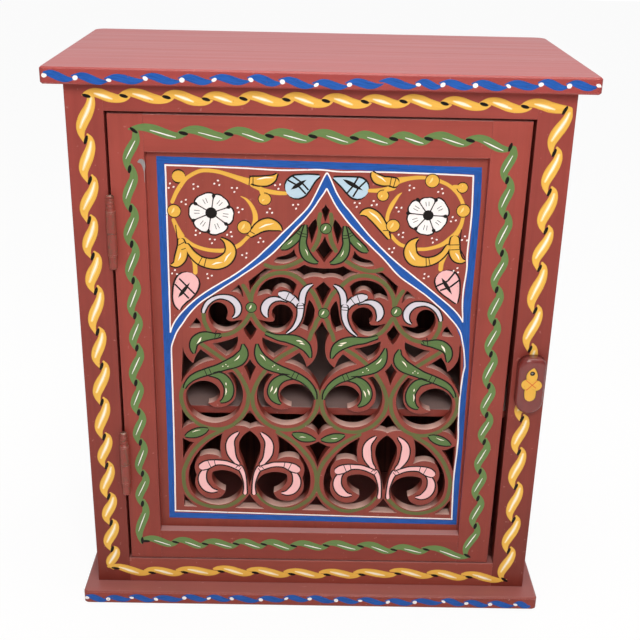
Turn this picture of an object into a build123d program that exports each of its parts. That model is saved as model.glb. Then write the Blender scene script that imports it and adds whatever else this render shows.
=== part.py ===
from build123d import *
import os

# Small painted wall-side cupboard: a nailed box on an overhanging base board, with a face frame
# and one framed door whose panel is fret-cut right through. All sizes are in millimetres.
# Frame: X to the right, Y to the back, Z up; the origin is the middle of the underside.

# ---------------------------------------------------------------- carcass sizes
HEIGHT = 600.0             # floor to the top of the top board
DEPTH = 278.0              # front to back, taken over the base board
BOARD = 16.0               # thickness of the base, top, side and face-frame boards
TOP_WIDTH = 522.5
BASE_WIDTH = 514.5
BODY_WIDTH = 488.0
BASE_LEDGE = 21.5          # how far the base board stands out in front of the body
TOP_LEDGE = 19.0           # the same for the top board
TOP_REAR_CORNER = 13.0     # plan radii of the board corners
TOP_FRONT_CORNER = 4.0
BASE_CORNER = 5.0
BOARD_EDGE = 1.6           # bevel of the board arrises
BODY_EDGE = 0.8            # rounding of the frame and door arrises
BACK_THICK = 6.0
BACK_REBATE = 8.0          # how deep the back panel sits into each side board

STILE_WIDTH = 36.7         # face frame
RAIL_TOP = 27.8
RAIL_BOTTOM = 30.6
FRAME_THICK = 16.0
TENON_LENGTH = 18.0
TENON_THICK = 5.5
TENON_SHOULDER = 5.0       # how much lower than its rail a tenon is, above and below

SHELF_THICK = 9.0
SHELF_TOP = 231.5          # height of the shelf surface
SHELF_GAP = 0.5            # the shelf's front edge stands this far behind the closed door
CLEAT = 12.0
CLEAT_INSET = 14.0         # the cleats stop this far short of the shelf's ends

# ---------------------------------------------------------------- door sizes
DOOR_THICK = 22.0
DOOR_SET_BACK = 0.5
GAP_HINGE = 2.6
GAP_LATCH_TOP = 3.1        # the latch side was planed to a taper
GAP_LATCH_BOTTOM = 6.7
GAP_TOP = 2.3
GAP_BOTTOM = 1.9
DOOR_STILE_HINGE = 34.3
DOOR_STILE_LATCH = 38.8    # at the top
DOOR_RAIL_TOP = 36.5
DOOR_RAIL_BOTTOM = 35.7
PANEL_SINK = 10.0          # from the door's face back to the panel's face
PANEL_THICK = 12.0
PANEL_GROOVE = 8.0         # width of the rebate that the panel lies in
PANEL_PLAY = 0.2
DOOR_TENON_LENGTH = 22.0
DOOR_TENON_THICK = 6.5

# ---------------------------------------------------------------- fretwork set-out
FRET_LEFT = 26.1           # plain margins round the cut field, inside the door frame
FRET_RIGHT = 9.4
FRET_TOP = 51.4
FRET_BOTTOM = 23.4
DRAWN_HALF_WIDTH = 150.0   # the pattern's drawn half width and height
EDGE_LEFT = 1.7            # the field stops this far short of the drawn width on the left
EDGE_RIGHT = -0.6          # and runs this far past it on the right
DRAWN_BOTTOM = 107.6
DRAWN_TOP = 466.0
AXIS_LEAN = 0.008          # the hand-set pattern leans a little to the right as it rises
AXIS_DROP = 0.0185         # and falls a little to the right
SMALLEST_CUT = 6.0         # a clipped opening under this area is not sawn
FRET_FAIR = 0.3            # the sawn arcs keep this close to the drawn curve

# ---------------------------------------------------------------- hinges
HINGE_UPPER = 435.5        # heights of the middles of the two hinges
HINGE_LOWER = 172.0
HINGE_ASIDE = 1.05         # the barrels stand this far to the door's side of the gap's middle
KNUCKLE_UPPER = 21.0
KNUCKLE_LOWER = 22.0
KNUCKLE_RADIUS = 4.85
KNUCKLE_GAP = 0.3
FINIAL_UPPER = 20.0
FINIAL_LOWER = 15.5
FINIAL_RADIUS = 4.1
FINIAL_RING = 1.7          # height of the ring that meets the knuckle
FINIAL_NECK = 0.9          # depth and height of the groove under the cap
FINIAL_CAP = 3.4
PIN_RADIUS = 2.4
PIN_PLAY = 0.05
PIN_REACH = 13.0           # how far the pin stands up inside the upper knuckle
PIN_END_GAP = 2.0          # room between the pin's end and the finial's plug
LEAF_THICK = 1.1
LEAF_DEPTH = 20.0
HINGE_NAILS = 2            # in each leaf
HINGE_NAIL_LENGTH = 15.0
HINGE_NAIL_SHARE = 0.55    # how far back along the leaf the nails sit

# ---------------------------------------------------------------- turn button
BUTTON_LENGTH = 63.6
BUTTON_WIDTH = 28.7
BUTTON_THICK = 12.8
BUTTON_CORNER = 12.5
BUTTON_EDGE = 2.2
BUTTON_STAND = 0.5         # running gap between the button and the face frame
BUTTON_SHORT_ARM = 16.0    # from the pivot to the near end
BUTTON_HEIGHT = 294.0      # height of the pivot
BUTTON_IN_FROM_SIDE = 18.0
BUTTON_SCREW_RADIUS = 1.75
BUTTON_SCREW_HEAD = 2.7
BUTTON_SCREW_HEAD_THICK = 1.4
BUTTON_SCREW_LENGTH = 27.0

# ---------------------------------------------------------------- nails
NAIL_SHANK = 2.0           # cut nails: square shanks and square heads
NAIL_HEAD = 4.0
NAIL_HEAD_THICK = 0.8
NAIL_SINK = 1.2            # heads are punched below the surface and filled
NAIL_LENGTH = 38.0
BRAD_SHANK = 1.5           # brads have no heads
BRAD_LENGTH = 16.0
NAIL_PLAY = 0.02
CORNER_NAIL_INSET = 30.0   # distance of the outer nails of a row from the ends of the joint

# ---------------------------------------------------------------- places worked out from the sizes
REAR = DEPTH / 2
FACE = -REAR + BASE_LEDGE
TOP_FRONT = FACE - TOP_LEDGE
BODY_BOTTOM = BOARD
BODY_TOP = HEIGHT - BOARD
BODY_X = BODY_WIDTH / 2
SIDE_INNER = BODY_X - BOARD
OPEN_X = BODY_X - STILE_WIDTH
OPEN_BOTTOM = BODY_BOTTOM + RAIL_BOTTOM
OPEN_TOP = BODY_TOP - RAIL_TOP
FRAME_REAR = FACE + FRAME_THICK
BACK_FRONT = REAR - BACK_THICK

DOOR_FACE = FACE + DOOR_SET_BACK
DOOR_REAR = DOOR_FACE + DOOR_THICK
DOOR_LEFT = -OPEN_X + GAP_HINGE
DOOR_RIGHT = OPEN_X - GAP_LATCH_TOP
DOOR_RIGHT_LOW = OPEN_X - GAP_LATCH_BOTTOM
DOOR_BOTTOM = OPEN_BOTTOM + GAP_BOTTOM
DOOR_TOP = OPEN_TOP - GAP_TOP
SIGHT_LEFT = DOOR_LEFT + DOOR_STILE_HINGE
SIGHT_RIGHT = DOOR_RIGHT - DOOR_STILE_LATCH
SIGHT_BOTTOM = DOOR_BOTTOM + DOOR_RAIL_BOTTOM
SIGHT_TOP = DOOR_TOP - DOOR_RAIL_TOP
PANEL_FACE = DOOR_FACE + PANEL_SINK
PANEL_REAR = PANEL_FACE + PANEL_THICK

SHELF_FRONT = DOOR_REAR + SHELF_GAP
SHELF_BOTTOM = SHELF_TOP - SHELF_THICK

HINGE_X = -OPEN_X + GAP_HINGE / 2 + HINGE_ASIDE
HINGE_Y = FACE - KNUCKLE_RADIUS
BUTTON_X = BODY_X - BUTTON_IN_FROM_SIDE
BUTTON_REAR = FACE - BUTTON_STAND
BUTTON_FRONT = BUTTON_REAR - BUTTON_THICK

FRET_UNIT_X = (SIGHT_RIGHT - SIGHT_LEFT - FRET_LEFT - FRET_RIGHT) / (2 * DRAWN_HALF_WIDTH)
FRET_UNIT_Z = (SIGHT_TOP - SIGHT_BOTTOM - FRET_TOP - FRET_BOTTOM) / (DRAWN_TOP - DRAWN_BOTTOM)
FRET_AXIS_X = SIGHT_LEFT + FRET_LEFT + DRAWN_HALF_WIDTH * FRET_UNIT_X
FRET_BASE_Z = SIGHT_BOTTOM + FRET_BOTTOM

# ---------------------------------------------------------------- fretwork openings
# Each opening is one saw cut. It is a list of runs; a run is a smooth curve that starts at a
# corner and ends at the next run's first point. Points are (across, up) on the drawn pattern.
# A half outline starts and ends on its own axis and is closed by its mirror image.
TEARDROP = [[(0, 206.6), (6, 201.6), (11, 193.6), (12.2, 185.6), (10, 173.1), (5.5, 158.6), (1.4, 143.6)],
            [(0, 135.6)]]
FOOT = [[(0, 126.5), (3.5, 120.5), (9, 114.3)], [(16, DRAWN_BOTTOM)], [(0, DRAWN_BOTTOM)]]
PALMETTE_SCROLL = [
    [(29.4, 202.4), (49, 187.2), (63.4, 165.4), (68, 144.4), (61.5, 123), (46, 112.8), (30, 111.6),
     (15, 120.3)],
    [(7.2, 138.5), (16, 152.3), (31, 156)],
    [(41, 153.4), (41.5, 144.4), (36.5, 136)],
    [(27, 129.6), (33, 121), (45, 119.1), (57, 127.6), (60.4, 139.5)],
    [(58.2, 149), (60.6, 160.5), (54, 173.2), (42, 175.8)],
    [(30.5, 171.5), (32.2, 187)]]
BETWEEN_ONIONS = [[(0, 195.8), (5, 193.3), (8, 191.5)], [(14.2, 190.3), (9.5, 184), (4.3, 175)], [(0, 163.5)]]
ONION_TIP = [[(0, 232.1), (4.5, 225.1), (9.5, 218.1)], [(16, 212.4), (8, 212.4)], [(0, 209.4)]]
ABOVE_ALMONDS = [[(0, 233), (4.3, 225.5), (8.7, 219.3)], [(15.5, 214.3), (9.5, 212.7), (4, 208.8)],
                 [(0, 204)]]
RING_SCROLL = [
    [(18.8, 276.9), (10.5, 265.1), (7.4, 248.6), (12, 231.6), (23, 219.6), (39, 215.1), (55, 219.6),
     (66, 231.6), (68.7, 245.6), (63.5, 259.1), (50, 265.4), (37, 261.1), (31.8, 250.6), (36.5, 242.3)],
    [(45, 238.4), (36, 234.2), (26, 235.9), (17, 243.6), (14.8, 254.6), (18, 266.6)],
    [(25.5, 275.2)]]
RING_DIAMOND = [[(0, 293.1), (2.6, 288.1)], [(6.6, 283.8), (3, 276.1)], [(0, 266.6)]]
VASE_SIDE = [[(15, 285.6), (18, 294.6)], [(23, 302.1), (29, 297.6)],
             [(38, 290.6), (30, 288.6), (20, 283.9), (11.5, 276.6), (5, 268.1)], [(0, 257.1)]]
VASE = [[(0, 338.5), (3.5, 332)], [(8, 325), (6.5, 321), (4.6, 315), (4.2, 307.6), (5, 299.6), (8, 293.1)],
        *VASE_SIDE]
EDGE_VASE = [[(0, 316)], [(4.6, 316), (4.2, 307.6), (5, 299.6), (8, 293.1)], *VASE_SIDE]
SPEARHEAD = [[(12.9, 318.3), (23, 313.8), (33, 310.4)], [(40, 308.9), (32.5, 301.6)],
             [(25.3, 295.6), (19.5, 299.6), (14.5, 306.6)]]
BEAD_DIAMOND = [[(0, 337.6), (3, 332.5)], [(7, 327.4), (4.5, 321)], [(0, 314.4)]]

# the rows above, drawn from the middle axis of the whole pattern
OUTER_SCROLL = [
    [(100.2, 338.1), (98.2, 346.2), (102.7, 354.6), (110.7, 355.8), (117.2, 349.8), (118.2, 339.8),
     (112.7, 328.4), (101.7, 323.8), (90.7, 327.8)],
    [(83.2, 337), (87.7, 336.7), (93.7, 335.5)]]
INNER_SCROLL = [
    [(49.4, 339.1), (52.4, 346), (49.1, 354.1), (43.6, 356.2), (37.6, 355.3), (32.6, 351.4),
     (30.6, 345.4), (31.6, 338.9), (35.6, 331.8), (43.6, 325.2), (52.6, 325), (60.6, 330.4)],
    [(66.6, 338.8), (61.6, 337.4), (55.6, 336.2)],
    [(51.1, 336.5)]]
ALMOND_SLIT = [[(14.2, 362.5), (9.7, 356.8), (8.2, 348.8), (9, 340.8)], [(14.7, 327.7)],
               [(22.7, 331.1), (20.7, 335.6), (18.7, 341.6), (17, 350.7), (15.7, 357.7)]]
SHOULDER_CUT = [[(86.8, 376.4)], [(95.3, 368.2), (89.8, 368.6), (84.8, 365.4)],
                [(82.3, 361.8), (82.3, 365.5), (83.8, 371.4)]]
HIP_CUT = [[(131, 338.1), (134, 333)], [(138.5, 327), (132, 326.4)], [(126.5, 327.2), (126.8, 331.7)]]
ARCH_CUT = [[(76.9, 380.6), (69, 387.2)], [(60, 395.2)],
            [(52.5, 394.5), (60, 388.9), (67, 382.8), (72, 375.7)], [(75.3, 370.6)]]
CROWN_CUT = [
    [(67.3, 364.8), (65.8, 372.8), (59.8, 380.4), (51.8, 384.8), (42.8, 386.2), (34.8, 384.7)],
    [(27.1, 378.5), (28.8, 373)], [(31.1, 366.9), (34.3, 371.9), (39.8, 375.6), (45.8, 375.2), (50.3, 371.6)],
    [(53.3, 365.8), (56.8, 367.8), (61.8, 367.2)]]
LEAF_CUT = [[(51, 402.6), (45, 408.7), (37, 410.8), (33, 414.4)], [(30.5, 417.9), (29.5, 412.5)],
            [(27, 408), (34, 403.4), (42, 401.2)]]
SIDE_DIAMOND = [[(9.7, 450.1), (8.2, 445.9), (9.2, 436.9)], [(13.2, 423.8)], [(17.4, 439.2), (13.2, 446.3)]]
MIDDLE_DIAMOND = [[(0, 383)], [(8.3, 374.9), (4.8, 367)], [(0, 356.5)]]
SLOT = [[(0, 397.3), (8, 397.7), (15, 398.7)], [(20, 400.9), (27, 396.5)], [(37, 394.1), (29, 391)],
        [(20, 385.1), (15, 387.5), (9, 388.5)], [(0, 386.8)]]
TOP_DIAMOND = [[(0, 466), (1.8, 462)], [(4.3, 459.5), (2.2, 454)], [(0, 446.5)]]
HEART = [[(0, 432.5), (3, 425)], [(8.9, 416.5)], [(0, 403.8)]]


def whole(half):
    """Close a half outline with its mirror image over its own axis."""
    back = []
    for run, following in reversed(list(zip(half, half[1:]))):
        curve = [following[0]] + run[::-1]
        back.append([(-x, z) for x, z in curve[:-1]])
    return half[:-1] + back


def set_out(across, up):
    """Point of the drawn pattern as it lies on the panel (local X and Z)."""
    rise = (up - DRAWN_BOTTOM) * FRET_UNIT_Z
    x = FRET_AXIS_X + across * FRET_UNIT_X + AXIS_LEAN * (rise - (SIGHT_TOP - SIGHT_BOTTOM) / 2)
    return x, FRET_BASE_Z + rise - AXIS_DROP * across * FRET_UNIT_X


def fair(curve, start=0.0, end=1.0):
    """A drawn curve as the saw follows it: straight cuts and arcs within FRET_FAIR of it."""
    first, *inner, last = [curve @ (start + (end - start) * i / 4) for i in range(5)]
    cut = Line(first, last)
    if any(cut.distance_to(point) > FRET_FAIR for point in inner):
        cut = ThreePointArc(first, inner[1], last)
    if all(cut.distance_to(point) <= FRET_FAIR for point in inner):
        return [cut]
    half = (start + end) / 2
    return fair(curve, start, half) + fair(curve, half, end)


def cut_face(runs, centre=0.0, side=1):
    """Face of one saw cut, with its axis at centre and, for side -1, mirrored."""
    edges = []
    for i, run in enumerate(runs):
        following = runs[(i + 1) % len(runs)]
        points = [set_out(centre + side * x, z) for x, z in run + following[:1]]
        edges += fair(Spline(*points)) if len(points) > 2 else [Line(*points)]
    return make_face(edges)


def fret_field():
    """The area that may be cut: straight sides that bend in under the arch."""
    bend = [(0, 255), (-1.4, 285), (-3.7, 316)]
    right = [(DRAWN_HALF_WIDTH - EDGE_RIGHT + x, z) for x, z in bend]
    left = [(EDGE_LEFT - DRAWN_HALF_WIDTH - x, z) for x, z in bend]
    foot = DRAWN_BOTTOM - 1
    return cut_face([[(right[0][0], foot)], right[:2], [right[2]], [left[2], left[1]], [left[0]],
                     [(left[0][0], foot)]])


def fret_cuts():
    """All the openings of the panel, as faces in the panel's plane."""
    cuts = []
    pitch = DRAWN_HALF_WIDTH / 2
    for side in (-1, 1):
        axis = side * pitch
        for half in (TEARDROP, FOOT, ONION_TIP, RING_DIAMOND, BEAD_DIAMOND):
            cuts.append(cut_face(whole(half), axis))
        for outline in (PALMETTE_SCROLL, RING_SCROLL, SPEARHEAD):
            cuts += [cut_face(outline, axis, 1), cut_face(outline, axis, -1)]
        for outline in (OUTER_SCROLL, INNER_SCROLL, ALMOND_SLIT, SHOULDER_CUT, HIP_CUT, ARCH_CUT,
                        CROWN_CUT, LEAF_CUT, SIDE_DIAMOND):
            cuts.append(cut_face(outline, 0, side))
    for half in (FOOT, BETWEEN_ONIONS, ABOVE_ALMONDS, VASE, MIDDLE_DIAMOND, SLOT, TOP_DIAMOND, HEART):
        cuts.append(cut_face(whole(half)))
    field = fret_field()
    for half in (FOOT, BETWEEN_ONIONS, ABOVE_ALMONDS, EDGE_VASE):
        for edge in (-DRAWN_HALF_WIDTH, DRAWN_HALF_WIDTH):
            clipped = cut_face(whole(half), edge) & field
            cuts += [face for face in clipped.faces() if face.area > SMALLEST_CUT]
    return cuts


# ---------------------------------------------------------------- small helpers
def block(x0, x1, y0, y1, z0, z1):
    """Rectangular block between two corners."""
    size = (x1 - x0, y1 - y0, z1 - z0)
    return Pos((x0 + x1) / 2, (y0 + y1) / 2, (z0 + z1) / 2) * Box(*size)


def facing(y):
    """Plane at depth y whose local axes are the row's X and Z, with its normal to the front."""
    return Plane(origin=(0, y, 0), x_dir=(1, 0, 0), z_dir=(0, -1, 0))


def soften(solid, radius, keep):
    """Round the straight edges of a solid that the function keep chooses."""
    return fillet([edge for edge in solid.edges() if keep(edge)], radius)


def rod(start, direction, length, radius):
    """Round bar from a point along a direction."""
    return Plane(origin=start, z_dir=direction) * Cylinder(
        radius, length, align=(Align.CENTER, Align.CENTER, Align.MIN))


def bar(start, direction, length, across):
    """Square bar from a point along a direction."""
    return Plane(origin=start, z_dir=direction) * Box(
        across, across, length, align=(Align.CENTER, Align.CENTER, Align.MIN))


def nail(start, direction, length, play=0.0):
    """Cut nail, its head's top at start; with play it is the hole for that nail."""
    shank = bar(start, direction, length + play, NAIL_SHANK + 2 * play)
    return shank + bar(start, direction, NAIL_HEAD_THICK + play, NAIL_HEAD + 2 * play)


def brad(start, direction, length, play=0.0):
    """Headless brad; with play it is the hole for that brad."""
    return bar(start, direction, length + play, BRAD_SHANK + 2 * play)


def spread(low, high, count):
    """Evenly spaced values from low to high."""
    return [low + (high - low) * i / (count - 1) for i in range(count)]


def save(name, shape):
    """Write one node; a list becomes a group of separate solids."""
    if isinstance(shape, list):
        shape = Compound(children=[piece.solid() for piece in shape])
    export_step(shape, f"parts/{name}.step")


# ---------------------------------------------------------------- nails and the holes they make
def side_nail_places(z, count=3):
    """Nail places over both side boards, at height z."""
    ys = spread(FRAME_REAR + CORNER_NAIL_INSET, REAR - CORNER_NAIL_INSET, count)
    x = BODY_X - BOARD / 2
    return [(side * x, y, z) for side in (-1, 1) for y in ys]


def stile_nail_places():
    """Nails through the face-frame stiles into the side boards' front edges."""
    x = BODY_X - BOARD / 2
    zs = spread(BODY_BOTTOM + CORNER_NAIL_INSET, BODY_TOP - CORNER_NAIL_INSET, 3)
    return [(side * x, FACE + NAIL_SINK, z) for side in (-1, 1) for z in zs]


def back_brad_places():
    """Brads round the back panel into the side boards' rebates and the shelf."""
    inset = BODY_X - BOARD + BACK_REBATE / 2
    zs = spread(BODY_BOTTOM + CORNER_NAIL_INSET, BODY_TOP - CORNER_NAIL_INSET, 4)
    sides = [(side * inset, REAR, z) for side in (-1, 1) for z in zs]
    shelf = [(x, REAR, SHELF_TOP - SHELF_THICK / 2) for x in (-SIDE_INNER / 2, SIDE_INNER / 2)]
    return sides + shelf


def cleat_nail_places(side):
    """Nails through a shelf cleat into its side board."""
    inset = CLEAT_INSET + CORNER_NAIL_INSET
    return [(side * (SIDE_INNER - CLEAT), y, SHELF_BOTTOM - CLEAT / 2)
            for y in (SHELF_FRONT + inset, BACK_FRONT - inset)]


def panel_brad_places():
    """Brads from the rear of the door through the panel's rim into the frame."""
    inset = PANEL_GROOVE / 2
    left, right = SIGHT_LEFT - inset, SIGHT_RIGHT + inset
    low, high = SIGHT_BOTTOM - inset, SIGHT_TOP + inset
    zs = spread(low + CORNER_NAIL_INSET, high - CORNER_NAIL_INSET, 3)
    xs = spread(left + CORNER_NAIL_INSET, right - CORNER_NAIL_INSET, 2)
    places = [(x, PANEL_REAR, z) for x in (left, right) for z in zs]
    return places + [(x, PANEL_REAR, z) for x in xs for z in (low, high)]


UP, DOWN, BACKWARD, FORWARD = (0, 0, 1), (0, 0, -1), (0, 1, 0), (0, -1, 0)
CLEAT_NAIL = CLEAT + BOARD / 2
PANEL_BRAD = PANEL_THICK + PANEL_SINK / 2


def top_nails(play=0.0):
    """Nails down through the top board into the side boards."""
    return [nail(place, DOWN, NAIL_LENGTH, play) for place in side_nail_places(HEIGHT - NAIL_SINK)]


def base_nails(play=0.0):
    """Nails up through the base board into the side boards."""
    return [nail(place, UP, NAIL_LENGTH, play) for place in side_nail_places(NAIL_SINK)]


def stile_nails(play=0.0):
    """Nails that hold the face frame to the side boards."""
    return [nail(place, BACKWARD, NAIL_LENGTH, play) for place in stile_nail_places()]


def back_brads(play=0.0):
    """Brads that hold the back panel."""
    return [brad(place, FORWARD, BRAD_LENGTH, play) for place in back_brad_places()]


def cleat_nails(play=0.0):
    """Nails that hold both cleats."""
    return [nail(place, (side, 0, 0), CLEAT_NAIL, play) for side in (-1, 1)
            for place in cleat_nail_places(side)]


def panel_brads(play=0.0):
    """Brads that hold the carved panel in the door."""
    return [brad(place, FORWARD, PANEL_BRAD, play) for place in panel_brad_places()]


# ---------------------------------------------------------------- carcass
def slab(width, front, z0, front_corner, rear_corner):
    """Overhanging board with corners rounded in plan and bevelled arrises."""
    board = block(-width / 2, width / 2, front, REAR, z0, z0 + BOARD)
    upright = board.edges().filter_by(Axis.Z)
    front_edges = [edge for edge in upright if edge.center().Y < 0]
    board = fillet(front_edges, front_corner)
    rear_edges = [edge for edge in board.edges().filter_by(Axis.Z)
                  if edge.center().Y > REAR - BOARD and edge.geom_type == GeomType.LINE]
    board = fillet(rear_edges, rear_corner)
    rims = board.faces().sort_by(Axis.Z)
    return chamfer(rims[0].edges() + rims[-1].edges(), BOARD_EDGE)


def side_board(side):
    """Side board with its rear rebate for the back panel."""
    board = block(SIDE_INNER, BODY_X, FRAME_REAR, REAR, BODY_BOTTOM, BODY_TOP)
    board -= block(SIDE_INNER, SIDE_INNER + BACK_REBATE, BACK_FRONT, REAR, BODY_BOTTOM, BODY_TOP)
    board = soften(board, BODY_EDGE, lambda e: e.center().X > BODY_X - 0.1 and e.center().Y > REAR - 0.1)
    return board if side > 0 else mirror(board, Plane.YZ)


def rail_tenons(left, right, z0, z1, y, thick, length):
    """Tenons on both ends of a rail."""
    low, high = z0 + TENON_SHOULDER, z1 - TENON_SHOULDER
    return (block(left - length, left, y - thick / 2, y + thick / 2, low, high)
            + block(right, right + length, y - thick / 2, y + thick / 2, low, high))


FRAME_RAILS = ((BODY_BOTTOM, OPEN_BOTTOM), (OPEN_TOP, BODY_TOP))
FRAME_TENON_Y = FACE + FRAME_THICK / 2


def face_tenons():
    """All four tenons of the face frame."""
    tenons = [rail_tenons(-OPEN_X, OPEN_X, z0, z1, FRAME_TENON_Y, TENON_THICK, TENON_LENGTH)
              for z0, z1 in FRAME_RAILS]
    return tenons[0] + tenons[1]


def face_rail(z0, z1):
    """Rail of the face frame with its two tenons."""
    rail = block(-OPEN_X, OPEN_X, FACE, FRAME_REAR, z0, z1)
    door_side = OPEN_BOTTOM if z1 == OPEN_BOTTOM else OPEN_TOP
    rail = soften(rail, BODY_EDGE, lambda e: abs(e.center().Z - door_side) < 0.1
                  and abs(e.center().Y - FACE) < 0.1)
    return rail + rail_tenons(-OPEN_X, OPEN_X, z0, z1, FRAME_TENON_Y, TENON_THICK, TENON_LENGTH)


def face_stile(side):
    """Stile of the face frame, mortised for the rails."""
    stile = block(OPEN_X, BODY_X, FACE, FRAME_REAR, BODY_BOTTOM, BODY_TOP)
    stile = soften(stile, BODY_EDGE, lambda e: e.center().X > BODY_X - 0.1 and e.center().Y < FACE + 0.1)
    if side < 0:
        stile = mirror(stile, Plane.YZ)
    return stile - face_tenons()


def shelf_board():
    """Inner shelf with a rounded front edge, between the side boards."""
    board = block(-SIDE_INNER, SIDE_INNER, SHELF_FRONT, BACK_FRONT, SHELF_BOTTOM, SHELF_TOP)
    return soften(board, BODY_EDGE, lambda e: e.center().Y < SHELF_FRONT + 0.1
                  and abs(e.center().X) < 1)


def cleat(side):
    """Batten under one end of the shelf."""
    x = sorted((side * SIDE_INNER, side * (SIDE_INNER - CLEAT)))
    return block(*x, SHELF_FRONT + CLEAT_INSET, BACK_FRONT - CLEAT_INSET, SHELF_BOTTOM - CLEAT, SHELF_BOTTOM)


# ---------------------------------------------------------------- door
def latch_edge(z):
    """X of the door's tapered latch side at height z."""
    share = (z - DOOR_BOTTOM) / (DOOR_TOP - DOOR_BOTTOM)
    return DOOR_RIGHT_LOW + (DOOR_RIGHT - DOOR_RIGHT_LOW) * share


DOOR_RAILS = ((DOOR_BOTTOM, SIGHT_BOTTOM), (SIGHT_TOP, DOOR_TOP))
LIP_MIDDLE = DOOR_FACE + PANEL_SINK / 2


def panel_seat(play=0.0):
    """The space behind the frame's lip that the panel fills."""
    rim = PANEL_GROOVE - play
    return block(SIGHT_LEFT - rim, SIGHT_RIGHT + rim, PANEL_FACE, DOOR_REAR, SIGHT_BOTTOM - rim,
                 SIGHT_TOP + rim)


def door_rail(z0, z1):
    """Door rail: its rear shoulders are longer and fill the stiles' rebates."""
    rail = block(SIGHT_LEFT, SIGHT_RIGHT, DOOR_FACE, PANEL_FACE, z0, z1)
    rail += block(SIGHT_LEFT - PANEL_GROOVE, SIGHT_RIGHT + PANEL_GROOVE, PANEL_FACE, DOOR_REAR, z0, z1)
    rail += rail_tenons(SIGHT_LEFT, SIGHT_RIGHT, z0, z1, LIP_MIDDLE, DOOR_TENON_THICK, DOOR_TENON_LENGTH)
    return rail - panel_seat()


def door_stile(hinge_side):
    """Door stile, rebated from behind and mortised for both rails."""
    if hinge_side:
        outline = Polyline((DOOR_LEFT, DOOR_BOTTOM), (SIGHT_LEFT, DOOR_BOTTOM), (SIGHT_LEFT, DOOR_TOP),
                           (DOOR_LEFT, DOOR_TOP), close=True)
        rebate = block(SIGHT_LEFT - PANEL_GROOVE, SIGHT_LEFT, PANEL_FACE, DOOR_REAR, DOOR_BOTTOM, DOOR_TOP)
    else:
        outline = Polyline((SIGHT_RIGHT, DOOR_BOTTOM), (latch_edge(DOOR_BOTTOM), DOOR_BOTTOM),
                           (DOOR_RIGHT, DOOR_TOP), (SIGHT_RIGHT, DOOR_TOP), close=True)
        rebate = block(SIGHT_RIGHT, SIGHT_RIGHT + PANEL_GROOVE, PANEL_FACE, DOOR_REAR, DOOR_BOTTOM, DOOR_TOP)
    stile = extrude(facing(DOOR_FACE) * make_face(outline), -DOOR_THICK)
    outer = DOOR_LEFT if hinge_side else (DOOR_RIGHT + DOOR_RIGHT_LOW) / 2
    stile = soften(stile, BODY_EDGE, lambda e: abs(e.center().X - outer) < 0.1
                   and abs(e.center().Y - DOOR_FACE) < 0.1)
    for z0, z1 in DOOR_RAILS:
        stile -= rail_tenons(SIGHT_LEFT, SIGHT_RIGHT, z0, z1, LIP_MIDDLE, DOOR_TENON_THICK,
                             DOOR_TENON_LENGTH)
    return stile - rebate


def carved_panel():
    """The pierced panel: a flat board with every opening of the fretwork sawn through it."""
    rim = PANEL_GROOVE - PANEL_PLAY
    left, right = SIGHT_LEFT - rim, SIGHT_RIGHT + rim
    low, high = SIGHT_BOTTOM - rim, SIGHT_TOP + rim
    board = Pos((left + right) / 2, (low + high) / 2) * Rectangle(right - left, high - low)
    return extrude(facing(PANEL_FACE) * (board - fret_cuts()), -PANEL_THICK)


# ---------------------------------------------------------------- hinges
def hinge_levels(middle):
    """Heights of a hinge: foot, top of the lower knuckle, top of the upper knuckle."""
    foot = middle - (KNUCKLE_UPPER + KNUCKLE_GAP + KNUCKLE_LOWER) / 2
    return foot, foot + KNUCKLE_LOWER, foot + KNUCKLE_LOWER + KNUCKLE_GAP + KNUCKLE_UPPER


def hinge_leaf(middle, side):
    """Leaf with its knuckle: side 1 lies on the door, side -1 on the face frame."""
    foot, split, head = hinge_levels(middle)
    plate_x = (DOOR_LEFT - LEAF_THICK, DOOR_LEFT) if side > 0 else (-OPEN_X, -OPEN_X + LEAF_THICK)
    leaf = block(*plate_x, HINGE_Y + KNUCKLE_RADIUS / 2, HINGE_Y + KNUCKLE_RADIUS + LEAF_DEPTH, foot, head)
    barrel = rod((HINGE_X, HINGE_Y, foot), UP, head - foot, KNUCKLE_RADIUS)
    gap = KNUCKLE_GAP
    if side > 0:
        own = rod((HINGE_X, HINGE_Y, split + gap), UP, KNUCKLE_UPPER, KNUCKLE_RADIUS)
        other = (foot, split + gap)
        bore = PIN_RADIUS + PIN_PLAY
    else:
        own = rod((HINGE_X, HINGE_Y, foot), UP, KNUCKLE_LOWER, KNUCKLE_RADIUS)
        other = (split, head)
        bore = PIN_RADIUS
    relief = rod((HINGE_X, HINGE_Y, other[0]), UP, other[1] - other[0], KNUCKLE_RADIUS + gap)
    leaf = (leaf - barrel) + (leaf & own) - relief
    leaf += own
    leaf -= rod((HINGE_X, HINGE_Y, foot), UP, head - foot, bore)
    return leaf - hinge_nails(middle, side, NAIL_PLAY)


def hinge_pin(middle):
    """Pin of the lower knuckle, turned in one with the plain finial under it."""
    foot, split, _ = hinge_levels(middle)
    tip = split - foot + PIN_REACH
    profile = [(0, -FINIAL_LOWER), (FINIAL_RADIUS - 0.8, -FINIAL_LOWER),
               (FINIAL_RADIUS, -FINIAL_LOWER + 0.8), (FINIAL_RADIUS, -FINIAL_RING),
               (KNUCKLE_RADIUS, -FINIAL_RING), (KNUCKLE_RADIUS, 0), (PIN_RADIUS, 0), (PIN_RADIUS, tip),
               (0, tip)]
    turned = revolve(Plane.XZ * make_face(Polyline(*profile, close=True)), Axis.Z)
    return Pos(HINGE_X, HINGE_Y, foot) * turned


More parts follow.
